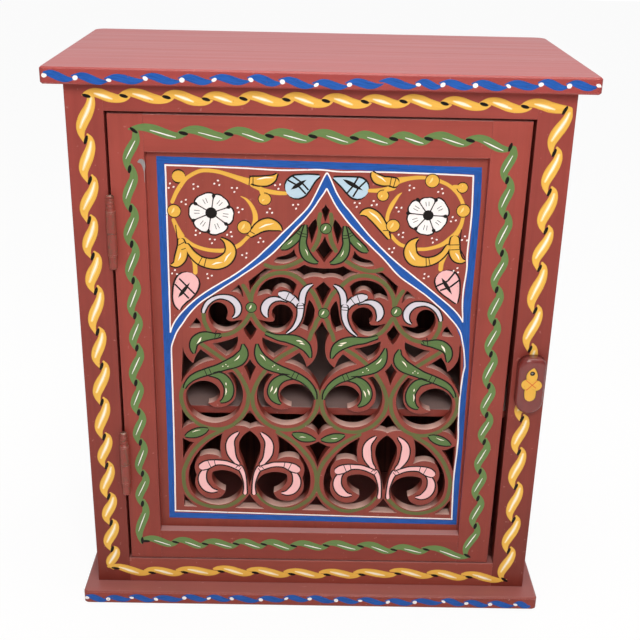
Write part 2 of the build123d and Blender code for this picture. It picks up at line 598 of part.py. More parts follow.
def hinge_finial(middle):
    """Turned finial that plugs the top of the upper knuckle: ring, body, neck and cap."""
    _, split, head = hinge_levels(middle)
    r = FINIAL_RADIUS
    plug = KNUCKLE_UPPER - PIN_REACH - PIN_END_GAP
    neck = FINIAL_UPPER - FINIAL_CAP - FINIAL_NECK
    profile = [(0, -plug), (PIN_RADIUS, -plug), (PIN_RADIUS, 0), (KNUCKLE_RADIUS, 0),
               (KNUCKLE_RADIUS, FINIAL_RING), (r, FINIAL_RING), (r, neck), (r - FINIAL_NECK, neck),
               (r - FINIAL_NECK, neck + FINIAL_NECK), (r, neck + FINIAL_NECK),
               (r, FINIAL_UPPER - FINIAL_CAP / 2), (r - FINIAL_CAP / 2, FINIAL_UPPER), (0, FINIAL_UPPER)]
    turned = revolve(Plane.XZ * make_face(Polyline(*profile, close=True)), Axis.Z)
    return Pos(HINGE_X, HINGE_Y, head) * turned


def hinge_nails(middle, side, play=0.0):
    """Nails of one leaf, heads let in flush: side 1 into the door stile, side -1 into the frame."""
    foot, _, head = hinge_levels(middle)
    x = DOOR_LEFT - LEAF_THICK if side > 0 else -OPEN_X + LEAF_THICK
    inset = (head - foot) / (2 * HINGE_NAILS)
    y = FACE + LEAF_DEPTH * HINGE_NAIL_SHARE
    return [nail((x, y, z), (side, 0, 0), HINGE_NAIL_LENGTH, play)
            for z in spread(foot + inset, head - inset, HINGE_NAILS)]


# ---------------------------------------------------------------- turn button
def turn_button():
    """Rounded wooden button on its pivot, stored with the long arm hanging down."""
    top = BUTTON_HEIGHT + BUTTON_SHORT_ARM
    middle = top - BUTTON_LENGTH / 2
    outline = Pos(BUTTON_X, middle) * RectangleRounded(BUTTON_WIDTH, BUTTON_LENGTH, BUTTON_CORNER)
    button = extrude(facing(BUTTON_REAR) * outline, BUTTON_THICK)
    front = button.faces().sort_by(Axis.Y)[0]
    button = chamfer(front.edges(), BUTTON_EDGE)
    return button - button_screw(PIN_PLAY)


def button_screw(play=0.0):
    """Pivot screw through the button into the face frame's stile, its flat head let in flush."""
    start = (BUTTON_X, BUTTON_FRONT, BUTTON_HEIGHT)
    shank = rod(start, BACKWARD, BUTTON_SCREW_LENGTH + play, BUTTON_SCREW_RADIUS + play)
    return shank + rod(start, BACKWARD, BUTTON_SCREW_HEAD_THICK + play, BUTTON_SCREW_HEAD + play)


# ---------------------------------------------------------------- build
def build():
    """Model every node and write it."""
    os.makedirs("parts", exist_ok=True)
    save("base_board", slab(BASE_WIDTH, -REAR, 0, BASE_CORNER, BASE_CORNER) - base_nails(NAIL_PLAY))
    save("top_board", slab(TOP_WIDTH, TOP_FRONT, BODY_TOP, TOP_FRONT_CORNER, TOP_REAR_CORNER)
         - top_nails(NAIL_PLAY))
    for side, name in ((-1, "left"), (1, "right")):
        holes = (top_nails(NAIL_PLAY) + base_nails(NAIL_PLAY) + stile_nails(NAIL_PLAY)
                 + back_brads(NAIL_PLAY) + cleat_nails(NAIL_PLAY))
        save(f"{name}_side", side_board(side) - holes)
        stile = face_stile(side) - stile_nails(NAIL_PLAY)
        if side > 0:
            stile -= button_screw(NAIL_PLAY)
        else:
            stile -= hinge_nails(HINGE_UPPER, -1, NAIL_PLAY) + hinge_nails(HINGE_LOWER, -1, NAIL_PLAY)
        save(f"face_stile_{name}", stile)
        save(f"shelf_cleat_{name}", cleat(side) - cleat_nails(NAIL_PLAY))
    save("face_rail_bottom", face_rail(*FRAME_RAILS[0]))
    save("face_rail_top", face_rail(*FRAME_RAILS[1]))
    rebate_x = SIDE_INNER + BACK_REBATE
    back = block(-rebate_x, rebate_x, BACK_FRONT, REAR, BODY_BOTTOM, BODY_TOP)
    save("back_panel", back - back_brads(NAIL_PLAY))
    save("shelf", shelf_board() - back_brads(NAIL_PLAY))

    save("door_rail_bottom", door_rail(*DOOR_RAILS[0]) - panel_brads(NAIL_PLAY))
    save("door_rail_top", door_rail(*DOOR_RAILS[1]) - panel_brads(NAIL_PLAY))
    door_nails = hinge_nails(HINGE_UPPER, 1, NAIL_PLAY) + hinge_nails(HINGE_LOWER, 1, NAIL_PLAY)
    save("door_stile_hinge", door_stile(True) - panel_brads(NAIL_PLAY) - door_nails)
    save("door_stile_latch", door_stile(False) - panel_brads(NAIL_PLAY))
    save("carved_panel", carved_panel() - panel_brads(NAIL_PLAY))

    for middle, name in ((HINGE_UPPER, "upper"), (HINGE_LOWER, "lower")):
        save(f"hinge_{name}_door_leaf", hinge_leaf(middle, 1))
        save(f"hinge_{name}_frame_leaf", hinge_leaf(middle, -1))
        save(f"hinge_{name}_pin", hinge_pin(middle))
        save(f"hinge_{name}_finial", hinge_finial(middle))
    save("hinge_nails_door", hinge_nails(HINGE_UPPER, 1) + hinge_nails(HINGE_LOWER, 1))
    save("hinge_nails_frame", hinge_nails(HINGE_UPPER, -1) + hinge_nails(HINGE_LOWER, -1))
    save("turn_button", turn_button())
    save("turn_button_screw", button_screw())

    save("top_nails", top_nails())
    save("base_nails", base_nails())
    save("face_frame_nails", stile_nails())
    save("back_brads", back_brads())
    save("cleat_nails", cleat_nails())
    save("panel_brads", panel_brads())


build()
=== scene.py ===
"""Paint, ornament and studio for a small fret-fronted cupboard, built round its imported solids.

The joinery, the sawn panel and the ironwork come from model.glb as they are. This script gives each of
them its finish, brushes the ornament on as thin closed films of paint, turns the hinge finials and
shapes the turn button with its worn round arrises.
"""
from __future__ import annotations

import logging
import math
from dataclasses import dataclass, field, replace
from enum import Enum
from typing import Any, Iterable, Sequence

import bpy
from mathutils import Matrix, Vector, noise
from mathutils.bvhtree import BVHTree

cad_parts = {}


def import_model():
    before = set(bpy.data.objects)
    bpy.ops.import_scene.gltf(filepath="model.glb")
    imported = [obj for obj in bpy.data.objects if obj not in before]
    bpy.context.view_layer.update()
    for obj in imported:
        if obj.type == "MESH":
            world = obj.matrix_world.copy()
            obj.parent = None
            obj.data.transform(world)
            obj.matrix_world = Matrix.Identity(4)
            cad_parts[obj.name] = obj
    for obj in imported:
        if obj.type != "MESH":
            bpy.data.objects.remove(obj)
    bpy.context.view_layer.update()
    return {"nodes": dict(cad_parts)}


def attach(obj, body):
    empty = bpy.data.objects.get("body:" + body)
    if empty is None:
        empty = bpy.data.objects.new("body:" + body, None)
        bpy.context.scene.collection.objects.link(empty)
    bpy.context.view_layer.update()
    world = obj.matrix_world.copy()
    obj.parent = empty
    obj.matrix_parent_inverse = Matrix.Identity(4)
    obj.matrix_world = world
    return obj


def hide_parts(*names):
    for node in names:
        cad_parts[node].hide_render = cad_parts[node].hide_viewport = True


log = logging.getLogger("cupboard")

MM = 0.001

Point = tuple[float, float]            # across and up on a face, mm
Spot = tuple[float, float, float]      # the same with the half-width of the brush there, mm
Line = Sequence[Point]
Spine = Sequence[Spot]


# ---------------------------------------------------------------- colours and nodes
def linear(code: str) -> tuple[float, float, float, float]:
    """Turn an sRGB hex code into the linear colour that the nodes take.

    Args:
        code: Six hex digits with a leading hash.

    Returns:
        Linear red, green, blue and an alpha of one.
    """
    parts = (int(code[i:i + 2], 16) / 255 for i in (1, 3, 5))
    red, green, blue = (c / 12.92 if c <= 0.04045 else ((c + 0.055) / 1.055) ** 2.4 for c in parts)
    return red, green, blue, 1.0


def add_node(tree: bpy.types.NodeTree, kind: str, settings: dict[str, Any] | None = None,
             inputs: dict[str | int, Any] | None = None) -> bpy.types.Node:
    """Add a node with its settings and links.

    Args:
        tree: The node tree that takes the node.
        kind: The node's type name.
        settings: Properties of the node.
        inputs: For each input, a value, or the output socket that feeds it.

    Returns:
        The new node.
    """
    node = tree.nodes.new(kind)
    for name, value in (settings or {}).items():
        setattr(node, name, value)
    for socket, value in (inputs or {}).items():
        if isinstance(value, bpy.types.NodeSocket):
            tree.links.new(value, node.inputs[socket])
        else:
            node.inputs[socket].default_value = value
    return node


class Grain(Enum):
    """Direction in which a board was brushed, along its length."""

    ACROSS = (1.0, 0.0, 0.0)
    DEPTH = (0.0, 1.0, 0.0)
    UPRIGHT = (0.0, 0.0, 1.0)


class Tint(Enum):
    """Paints of the ornament: the load of the brush, its thin edge, and how much edge and hairs show."""

    YELLOW = ("#E4B04A", "#BE7F2B", 0.45, 0.12)
    AMBER = ("#EAB750", "#C2802C", 0.55, 0.16)
    GLOW = ("#F4D893", "#E6B95A", 0.5, 0.3)
    GREEN = ("#68834C", "#4D7040", 0.35, 0.35)
    OLIVE = ("#63683C", "#54502E", 0.5, 0.45)
    LEAF = ("#5B7544", "#42592F", 0.4, 0.3)
    BLUE = ("#2058AC", "#16386F", 0.45, 0.55)
    WHITE = ("#F4EFEE", "#DCC8C6", 0.4, 0.1)
    CREAM = ("#FBF1DE", "#F3DDB0", 0.5, 0.15)
    BLACK = ("#100C0A", "#1D100D", 0.4, 0.2)
    PINK = ("#EFB9BA", "#DC9799", 0.4, 0.15)
    SKY = ("#B9D0DF", "#92B2C6", 0.4, 0.2)
    LAVENDER = ("#D3CDD6", "#ADA5B6", 0.4, 0.2)
    VERMILION = ("#D2502C", "#B23E1E", 0.4, 0.2)
    GREY = ("#8F8B8B", "#777373", 0.3, 0.2)

    @property
    def slug(self) -> str:
        """Lower-case name for objects and materials."""
        return self.name.lower()


# ---------------------------------------------------------------- finishes
@dataclass(frozen=True)
class BrushedAlkyd:
    """Red-brown alkyd paint laid on softwood with a wide brush.

    To the eye: long soft brush streaks, thin cloudy patches, a paler tone high up and a darker one at the
    foot as painted light falloff from the lamps above, a pink dusting with painted light from above on every
    face that looks up, and arrises rubbed down to the pale ground, which is wear and also a painted
    highlight.
    """

    name: str
    grain: Grain
    high: str = "#943F37"        # at the top of the cupboard, paler as painted light from above
    low: str = "#752D23"         # at its foot, darker as painted shade
    ground: str = "#CB928A"
    # Pink of the faces that look up: dusting and painted light from above.
    dust_and_painted_light_tone: str = "#CBA09E"
    dust_and_painted_light: float = 0.3            # share of pale pink on a level face: dusting and painted light
    mottle: float = 0.1          # lightness of the streaks and clouds, up and down
    streak: float = 1.1          # mm between brush marks; real bristle marks are 0.3 mm, too fine to show
    run: float = 70.0            # mm that a mark lasts
    patch: float = 46.0          # mm across the cloudy patches
    arris: float = 1.2           # mm that a corner is rubbed round
    rub: float = 0.5             # ground shown on the corners: wear and painted highlight
    flush: bool = False          # the ends are let in flush, so no joint is rubbed
    speck: float = 0.3           # how strong the small knocks are
    sheen: float = 0.3           # specular level
    roughness: tuple[float, float] = (0.36, 0.52)
    relief: float = 0.05         # mm

    def make(self) -> bpy.types.Material:
        """Build the material.

        Returns:
            The paint, ready to assign.
        """
        material = bpy.data.materials.new(self.name)
        material.use_nodes = True
        tree = material.node_tree
        shader = tree.nodes["Principled BSDF"]
        where = add_node(tree, "ShaderNodeTexCoord").outputs["Object"]
        facing = add_node(tree, "ShaderNodeNewGeometry").outputs["Normal"]
        stretch = [1 / (MM * (self.run if part else self.streak)) for part in self.grain.value]
        bristle = add_node(tree, "ShaderNodeVectorMath", {"operation": "MULTIPLY"}, {0: where, 1: stretch})
        marks = add_node(tree, "ShaderNodeTexNoise", None,
                         {"Vector": bristle.outputs[0], "Scale": 1.0, "Detail": 4.0, "Roughness": 0.6})
        broad = add_node(tree, "ShaderNodeVectorMath", {"operation": "MULTIPLY"},
                         {0: where, 1: [s / 6 for s in stretch]})
        sweeps = add_node(tree, "ShaderNodeTexNoise", None,
                          {"Vector": broad.outputs[0], "Scale": 1.0, "Detail": 2.0})
        clouds = add_node(tree, "ShaderNodeTexNoise", None,
                          {"Vector": where, "Scale": 1 / (MM * self.patch), "Detail": 3.0})
        lean = add_node(tree, "ShaderNodeMath", {"operation": "MULTIPLY_ADD"},
                        {0: marks.outputs[0], 1: 0.55, 2: sweeps.outputs[0]})
        lean = add_node(tree, "ShaderNodeMath", {"operation": "ADD"},
                        {0: lean.outputs[0], 1: clouds.outputs[0]})
        load = add_node(tree, "ShaderNodeMapRange", None,
                        {"Value": lean.outputs[0], "From Min": 0.95, "From Max": 1.6,
                         "To Min": 1 - self.mottle, "To Max": 1 + self.mottle})
        # Painted light falloff: the colour runs from the darker paint at the foot up to the paler one at the
        # top.
        height = add_node(tree, "ShaderNodeSeparateXYZ", None, {0: where}).outputs[2]
        painted_light_top = add_node(tree, "ShaderNodeMapRange", None,
                         {"Value": height, "From Min": 0.03, "From Max": 0.55})
        body = add_node(tree, "ShaderNodeMix", {"data_type": "RGBA"},
                        {0: painted_light_top.outputs[0], 6: linear(self.low), 7: linear(self.high)})
        body = add_node(tree, "ShaderNodeVectorMath", {"operation": "SCALE"},
                        {0: body.outputs[2], 3: load.outputs[0]})
        # Faces that look up turn pale pink: dusting, and painted light from above.
        upward = add_node(tree, "ShaderNodeSeparateXYZ", None, {0: facing}).outputs[2]
        dust_and_painted_light_share = add_node(tree, "ShaderNodeMapRange", None,
                           {"Value": upward, "From Min": 0.6, "From Max": 0.95, "To Max": self.dust_and_painted_light})
        body = add_node(tree, "ShaderNodeMix", {"data_type": "RGBA"},
                        {0: dust_and_painted_light_share.outputs[0], 6: body.outputs[0], 7: linear(self.dust_and_painted_light_tone)})
        rounded = add_node(tree, "ShaderNodeBevel", {"samples": 4}, {"Radius": self.arris * MM})
        tilt = add_node(tree, "ShaderNodeVectorMath", {"operation": "SUBTRACT"},
                        {0: rounded.outputs[0], 1: facing})
        across = [0.0 if part and self.flush else 1.0 for part in self.grain.value]
        tilt = add_node(tree, "ShaderNodeVectorMath", {"operation": "MULTIPLY"},
                        {0: tilt.outputs[0], 1: across})
        tilt = add_node(tree, "ShaderNodeVectorMath", {"operation": "LENGTH"}, {0: tilt.outputs[0]})
        grit = add_node(tree, "ShaderNodeTexNoise", None,
                        {"Vector": where, "Scale": 1 / (MM * 3.2), "Detail": 4.0, "Roughness": 0.65})
        turn = add_node(tree, "ShaderNodeMath", {"operation": "MULTIPLY_ADD"},
                        {0: grit.outputs[0], 1: 0.5, 2: tilt.outputs["Value"]})
        # Rubbed arrises show the pale ground: wear, and a painted highlight along the edges.
        rubbed = add_node(tree, "ShaderNodeMapRange", None,
                          {"Value": turn.outputs[0], "From Min": 0.72, "From Max": 0.92, "To Max": self.rub})
        colour = add_node(tree, "ShaderNodeMix", {"data_type": "RGBA"},
                          {0: rubbed.outputs[0], 6: body.outputs[2], 7: linear(self.ground)})
        knocks = add_node(tree, "ShaderNodeTexNoise", None,
                          {"Vector": where, "Scale": 1 / (MM * 5.5), "Detail": 3.0})
        spot = add_node(tree, "ShaderNodeMapRange", None,
                        {"Value": knocks.outputs[0], "From Min": 0.7, "From Max": 0.76,
                         "To Max": self.speck})
        colour = add_node(tree, "ShaderNodeMix", {"data_type": "RGBA"},
                          {0: spot.outputs[0], 6: colour.outputs[2], 7: linear(self.ground)})
        gloss = add_node(tree, "ShaderNodeMapRange", None,
                         {"Value": sweeps.outputs[0], "From Min": 0.3, "From Max": 0.7,
                          "To Min": self.roughness[0], "To Max": self.roughness[1]})
        ridge = add_node(tree, "ShaderNodeBump", None,
                         {"Height": marks.outputs[0], "Distance": self.relief * MM, "Strength": 1.0,
                          "Normal": rounded.outputs[0]})
        tree.links.new(colour.outputs[2], shader.inputs["Base Color"])
        tree.links.new(gloss.outputs[0], shader.inputs["Roughness"])
        tree.links.new(ridge.outputs[0], shader.inputs["Normal"])
        shader.inputs["IOR"].default_value = 1.5
        shader.inputs["Specular IOR Level"].default_value = self.sheen
        return material


@dataclass(frozen=True)
class SignwriterPaint:
    """Oil paint laid with a soft pointed brush, one stroke for each leaf.

    To the eye: streaks that follow the stroke, a darker thin rim, pin-head chips that show the red
    ground, and a little more sheen than the ground under it.
    """

    tint: Tint
    streak: float = 0.8          # mm between hair marks; real ones are 0.2 mm, too fine to show
    run: float = 14.0            # mm
    chip: float = 2.6            # mm
    ground: str = "#9A4038"
    roughness: float = 0.42
    sheen: float = 0.2

    def make(self) -> bpy.types.Material:
        """Build the material, which reads the stroke's own attributes.

        Returns:
            The paint, ready to assign.
        """
        material = bpy.data.materials.new(f"oil_paint_{self.tint.slug}")
        material.use_nodes = True
        tree = material.node_tree
        shader = tree.nodes["Principled BSDF"]
        loaded, thin, strength, hairs = self.tint.value
        stroke = add_node(tree, "ShaderNodeAttribute", {"attribute_name": "stroke"}).outputs["Vector"]
        rim = add_node(tree, "ShaderNodeAttribute", {"attribute_name": "rim"}).outputs["Fac"]
        hair = add_node(tree, "ShaderNodeVectorMath", {"operation": "MULTIPLY"},
                        {0: stroke, 1: (1 / self.run, 1 / self.streak, 37.0)})
        marks = add_node(tree, "ShaderNodeTexNoise", None,
                         {"Vector": hair.outputs[0], "Scale": 1.0, "Detail": 3.0})
        away = add_node(tree, "ShaderNodeMath", {"operation": "ABSOLUTE"}, {0: rim})
        wobble = add_node(tree, "ShaderNodeMath", {"operation": "MULTIPLY_ADD"},
                          {0: marks.outputs[0], 1: 0.9, 2: away.outputs[0]})
        edge = add_node(tree, "ShaderNodeMapRange", None,
                        {"Value": wobble.outputs[0], "From Min": 1.15, "From Max": 1.5, "To Max": strength})
        parted = add_node(tree, "ShaderNodeMapRange", None,
                          {"Value": marks.outputs[0], "From Min": 0.45, "From Max": 0.68, "To Max": hairs})
        bare = add_node(tree, "ShaderNodeMath", {"operation": "MAXIMUM"},
                        {0: edge.outputs[0], 1: parted.outputs[0]})
        colour = add_node(tree, "ShaderNodeMix", {"data_type": "RGBA"},
                          {0: bare.outputs[0], 6: linear(loaded), 7: linear(thin)})
        where = add_node(tree, "ShaderNodeTexCoord").outputs["Object"]
        flakes = add_node(tree, "ShaderNodeTexNoise", None,
                          {"Vector": where, "Scale": 1 / (MM * self.chip), "Detail": 2.0})
        chipped = add_node(tree, "ShaderNodeMapRange", None,
                           {"Value": flakes.outputs[0], "From Min": 0.73, "From Max": 0.76, "To Max": 0.6})
        colour = add_node(tree, "ShaderNodeMix", {"data_type": "RGBA"},
                          {0: chipped.outputs[0], 6: colour.outputs[2], 7: linear(self.ground)})
        ridge = add_node(tree, "ShaderNodeBump", None,
                         {"Height": marks.outputs[0], "Distance": 0.04 * MM, "Strength": 1.0})
        tree.links.new(colour.outputs[2], shader.inputs["Base Color"])
        tree.links.new(ridge.outputs[0], shader.inputs["Normal"])
        shader.inputs["Roughness"].default_value = self.roughness
        shader.inputs["IOR"].default_value = 1.5
        shader.inputs["Specular IOR Level"].default_value = self.sheen
        return material


@dataclass(frozen=True)
class WashedPine:
    """Pine boards inside the box, sawn, planed and given one thin red-brown wash.

    To the eye: the grain shows through as long pale and dark lines, quite matt.
    """

    name: str
    grain: Grain
    pale: str = "#70392F"
    dark: str = "#4A211B"
    ring: float = 5.0            # mm between growth lines on the face
    run: float = 220.0           # mm
    roughness: float = 0.62

    def make(self) -> bpy.types.Material:
        """Build the material.

        Returns:
            The washed wood, ready to assign.
        """
        material = bpy.data.materials.new(self.name)
        material.use_nodes = True
        tree = material.node_tree
        shader = tree.nodes["Principled BSDF"]
        where = add_node(tree, "ShaderNodeTexCoord").outputs["Object"]
        stretch = [1 / (MM * (self.run if part else self.ring)) for part in self.grain.value]
        lie = add_node(tree, "ShaderNodeVectorMath", {"operation": "MULTIPLY"}, {0: where, 1: stretch})
        rings = add_node(tree, "ShaderNodeTexNoise", None,
                         {"Vector": lie.outputs[0], "Scale": 1.0, "Detail": 5.0, "Roughness": 0.62,
                          "Distortion": 0.4})
        shade = add_node(tree, "ShaderNodeMapRange", None,
                         {"Value": rings.outputs[0], "From Min": 0.36, "From Max": 0.64})
        colour = add_node(tree, "ShaderNodeMix", {"data_type": "RGBA"},
                          {0: shade.outputs[0], 6: linear(self.dark), 7: linear(self.pale)})
        ridge = add_node(tree, "ShaderNodeBump", None,
                         {"Height": rings.outputs[0], "Distance": 0.08 * MM, "Strength": 1.0})
        tree.links.new(colour.outputs[2], shader.inputs["Base Color"])
        tree.links.new(ridge.outputs[0], shader.inputs["Normal"])
        shader.inputs["Roughness"].default_value = self.roughness
        shader.inputs["IOR"].default_value = 1.5
        return material


@dataclass(frozen=True)
class OverpaintedSteel:
    """Rolled steel hinge painted over with the wood, rubbed bare where hands and the leaves rub it.

    To the eye: thick paint with brown stains, bare metal on the rings, the ends and the domed tip.
    """

    name: str = "overpainted_steel"
    paint: str = "#8B3F36"
    stain: str = "#74493B"
    metal: str = "#C9BAAE"
    rust: str = "#77564A"
    patch: float = 5.0           # mm
    arris: float = 0.5           # mm
    bared: float = 1.0           # how much of the metal shows on faces that look up

    def make(self) -> bpy.types.Material:
        """Build the material.

        Returns:
            The painted steel, ready to assign.
        """
        material = bpy.data.materials.new(self.name)
        material.use_nodes = True
        tree = material.node_tree
        shader = tree.nodes["Principled BSDF"]
        where = add_node(tree, "ShaderNodeTexCoord").outputs["Object"]
        facing = add_node(tree, "ShaderNodeNewGeometry").outputs["Normal"]
        rounded = add_node(tree, "ShaderNodeBevel", {"samples": 4}, {"Radius": self.arris * MM})
        same = add_node(tree, "ShaderNodeVectorMath", {"operation": "DOT_PRODUCT"},
                        {0: rounded.outputs[0], 1: facing})
        cloud = add_node(tree, "ShaderNodeTexNoise", None,
                         {"Vector": where, "Scale": 1 / (MM * self.patch), "Detail": 4.0, "Roughness": 0.6})
        bare = add_node(tree, "ShaderNodeMath", {"operation": "MULTIPLY_ADD"},
                        {0: cloud.outputs[0], 1: -0.35, 2: same.outputs["Value"]})
        worn = add_node(tree, "ShaderNodeMapRange", None,
                        {"Value": bare.outputs[0], "From Min": 0.76, "From Max": 0.66, "To Max": 0.7})
        upward = add_node(tree, "ShaderNodeSeparateXYZ", None, {0: facing}).outputs[2]
        tip = add_node(tree, "ShaderNodeMapRange", None,
                       {"Value": upward, "From Min": 0.62, "From Max": 0.85, "To Max": self.bared})
        worn = add_node(tree, "ShaderNodeMath", {"operation": "MAXIMUM"},
                        {0: worn.outputs[0], 1: tip.outputs[0]})
        tarnish = add_node(tree, "ShaderNodeMapRange", None,
                           {"Value": cloud.outputs[0], "From Min": 0.5, "From Max": 0.66})
        over = add_node(tree, "ShaderNodeMix", {"data_type": "RGBA"},
                        {0: tarnish.outputs[0], 6: linear(self.paint), 7: linear(self.stain)})
        under = add_node(tree, "ShaderNodeMix", {"data_type": "RGBA"},
                         {0: tarnish.outputs[0], 6: linear(self.metal), 7: linear(self.rust)})
        colour = add_node(tree, "ShaderNodeMix", {"data_type": "RGBA"},
                          {0: worn.outputs[0], 6: over.outputs[2], 7: under.outputs[2]})
        gloss = add_node(tree, "ShaderNodeMapRange", None,
                         {"Value": cloud.outputs[0], "From Min": 0.3, "From Max": 0.7,
                          "To Min": 0.3, "To Max": 0.48})
        ridge = add_node(tree, "ShaderNodeBump", None,
                         {"Height": cloud.outputs[0], "Distance": 0.12 * MM, "Strength": 1.0,
                          "Normal": rounded.outputs[0]})
        tree.links.new(colour.outputs[2], shader.inputs["Base Color"])
        tree.links.new(worn.outputs[0], shader.inputs["Metallic"])
        tree.links.new(gloss.outputs[0], shader.inputs["Roughness"])
        tree.links.new(ridge.outputs[0], shader.inputs["Normal"])
        shader.inputs["Specular IOR Level"].default_value = 0.35
        return material


@dataclass(frozen=True)
class PolishedByHand:
    """Steel finial rubbed bright by fingers, with paint left in its grooves.

    To the eye: a small bright dome with a few brown specks.
    """

    name: str = "steel_rubbed_bright"
    metal: str = "#CFC8C2"
    speck: str = "#8A5A4E"
    pit: float = 1.6             # mm
    roughness: float = 0.24

    def make(self) -> bpy.types.Material:
        """Build the material.

        Returns:
            The bare steel, ready to assign.
        """
        material = bpy.data.materials.new(self.name)
        material.use_nodes = True
        tree = material.node_tree
        shader = tree.nodes["Principled BSDF"]
        where = add_node(tree, "ShaderNodeTexCoord").outputs["Object"]
        pits = add_node(tree, "ShaderNodeTexNoise", None,
                        {"Vector": where, "Scale": 1 / (MM * self.pit), "Detail": 3.0})
        dirt = add_node(tree, "ShaderNodeMapRange", None,
                        {"Value": pits.outputs[0], "From Min": 0.55, "From Max": 0.68, "To Max": 0.8})
        colour = add_node(tree, "ShaderNodeMix", {"data_type": "RGBA"},
                          {0: dirt.outputs[0], 6: linear(self.metal), 7: linear(self.speck)})
        ridge = add_node(tree, "ShaderNodeBump", None,
                         {"Height": pits.outputs[0], "Distance": 0.05 * MM, "Strength": 1.0})
        tree.links.new(colour.outputs[2], shader.inputs["Base Color"])
        tree.links.new(ridge.outputs[0], shader.inputs["Normal"])
        shader.inputs["Metallic"].default_value = 1.0
        shader.inputs["Roughness"].default_value = self.roughness
        return material


# ---------------------------------------------------------------- brush strokes
def smooth(spine: Spine, step: float = 1.1) -> list[Spot]:
    """Run one smooth line through the spots of a stroke.

    Args:
        spine: Spots that the brush passes, each with its half-width.
        step: Distance between the samples, mm.

    Returns:
        Samples along the line, evenly spread between each two spots.
    """
    spots = [Vector(s) for s in spine]
    marks = [0.0]
    for a, b in zip(spots, spots[1:]):
        marks.append(marks[-1] + max((b.xy - a.xy).length, 1e-6))
    slopes = []
    for i in range(len(spots)):
        a, b = max(i - 1, 0), min(i + 1, len(spots) - 1)
        slopes.append((spots[b] - spots[a]) / (marks[b] - marks[a]))
    samples = []
    for i, (a, b) in enumerate(zip(spots, spots[1:])):
        span = marks[i + 1] - marks[i]
        count = max(2, math.ceil(span / step))
        for k in range(count):
            t = k / count
            place = (a * (2 * t ** 3 - 3 * t ** 2 + 1) + slopes[i] * span * (t ** 3 - 2 * t ** 2 + t)
                     + b * (3 * t ** 2 - 2 * t ** 3) + slopes[i + 1] * span * (t ** 3 - t ** 2))
            samples.append((place.x, place.y, max(place.z, 0.1)))
    last = spots[-1]
    samples.append((last.x, last.y, max(last.z, 0.1)))
    return samples


def cap(samples: list[Spot], rings: int = 4, blunt: float = 0.7) -> list[Spot]:
    """Round off the ends of a stroke that are wider than a point.

    Args:
        samples: The stroke's samples.
        rings: Samples added at each end.
        blunt: Half-width from which an end is rounded, mm.

    Returns:
        The samples with their round ends.
    """
    def half_round(end: Spot, before: Spot) -> list[Spot]:
        """Samples that close one end, outwards from it."""
        if end[2] < blunt:
            return []
        way = (Vector(end[:2]) - Vector(before[:2])).normalized()
        turns = [math.pi / 2 * (k + 1) / rings for k in range(rings)]
        return [(end[0] + way.x * end[2] * math.sin(t), end[1] + way.y * end[2] * math.sin(t),
                 max(end[2] * math.cos(t), 0.1)) for t in turns]

    head = half_round(samples[0], samples[1])
    tail = half_round(samples[-1], samples[-2])
    return head[::-1] + samples + tail


def sideways(samples: Sequence[Spot], i: int) -> Vector:
    """Unit vector to the left of a stroke at one of its samples."""
    a, b = samples[max(i - 1, 0)], samples[min(i + 1, len(samples) - 1)]
    way = Vector((b[0] - a[0], b[1] - a[1]))
    return Vector((-way.y, way.x)).normalized() if way.length > 1e-9 else Vector((0.0, 1.0))


def between(near: Line, far: Line) -> list[Spot]:
    """Fill the strip between two lines.

    Args:
        near: Points of one line; each gives one spot.
        far: Points of the other line.

    Returns:
        Spots of a stroke that is as wide as the strip.
    """
    line = [spot[:2] for spot in smooth(even(far, 1.0), 0.5)]
    spots = []
    for x, z in near:
        u, v = min(line, key=lambda place: math.dist(place, (x, z)))
        spots.append(((x + u) / 2, (z + v) / 2, math.dist((x, z), (u, v)) / 2))
    return spots


def even(line: Line, width: float) -> list[Spot]:
    """Give each point of a line the same half-width."""
    return [(x, z, width) for x, z in line]


@dataclass
class Film:
    """Strokes of one paint on one face, gathered into one mesh of thin closed films."""

    verts: list[tuple[float, float, float]] = field(default_factory=list)
    faces: list[tuple[int, ...]] = field(default_factory=list)
    stroke: list[float] = field(default_factory=list)
    rim: list[float] = field(default_factory=list)


@dataclass
class Wood:
    """Front face of the sawn panel, which says where there is wood to paint on."""

    tree: BVHTree
    plane: float
    before: float = 2.0                   # mm in front of the face, where a probe starts
    probe: float = 2.3                    # mm, its length
    step: float = 0.4                     # mm between probes on the way to a sawn edge
    margin: float = 0.08                  # mm of bare wood left along the edge

    @classmethod
    def of(cls, panel: bpy.types.Object, plane: float) -> "Wood":
        """Read the panel's mesh.

        Args:
            panel: The panel's object, with its place in its mesh.
            plane: Place of its front face, mm.

        Returns:
            The tester.
        """
        mesh = panel.data
        corners = [v.co.copy() for v in mesh.vertices]
        return cls(BVHTree.FromPolygons(corners, [tuple(p.vertices) for p in mesh.polygons]), plane)

    def holds(self, x: float, z: float) -> bool:
        """Whether there is wood behind a point of the face."""
        start = Vector((x * MM, (self.plane - self.before) * MM, z * MM))
        return self.tree.ray_cast(start, Vector((0.0, 1.0, 0.0)), self.probe * MM)[0] is not None

    def reach(self, x: float, z: float, way: Vector, width: float) -> float:
        """How far the brush can go sideways before it meets a sawn edge.

        Args:
            x: Place across, mm.
            z: Height, mm.
            way: Unit vector sideways.
            width: Distance wanted, mm.

        Returns:
            The distance that stays on wood, mm.
        """
        good = 0.0
        while good < width:
            ahead = min(good + self.step, width)
            if not self.holds(x + way.x * ahead, z + way.y * ahead):
                low, high = good, ahead
                for _ in range(4):
                    middle = (low + high) / 2
                    if self.holds(x + way.x * middle, z + way.y * middle):
                        low = middle
                    else:
                        high = middle
                return max(low - self.margin, 0.0)
            good = ahead
        return width


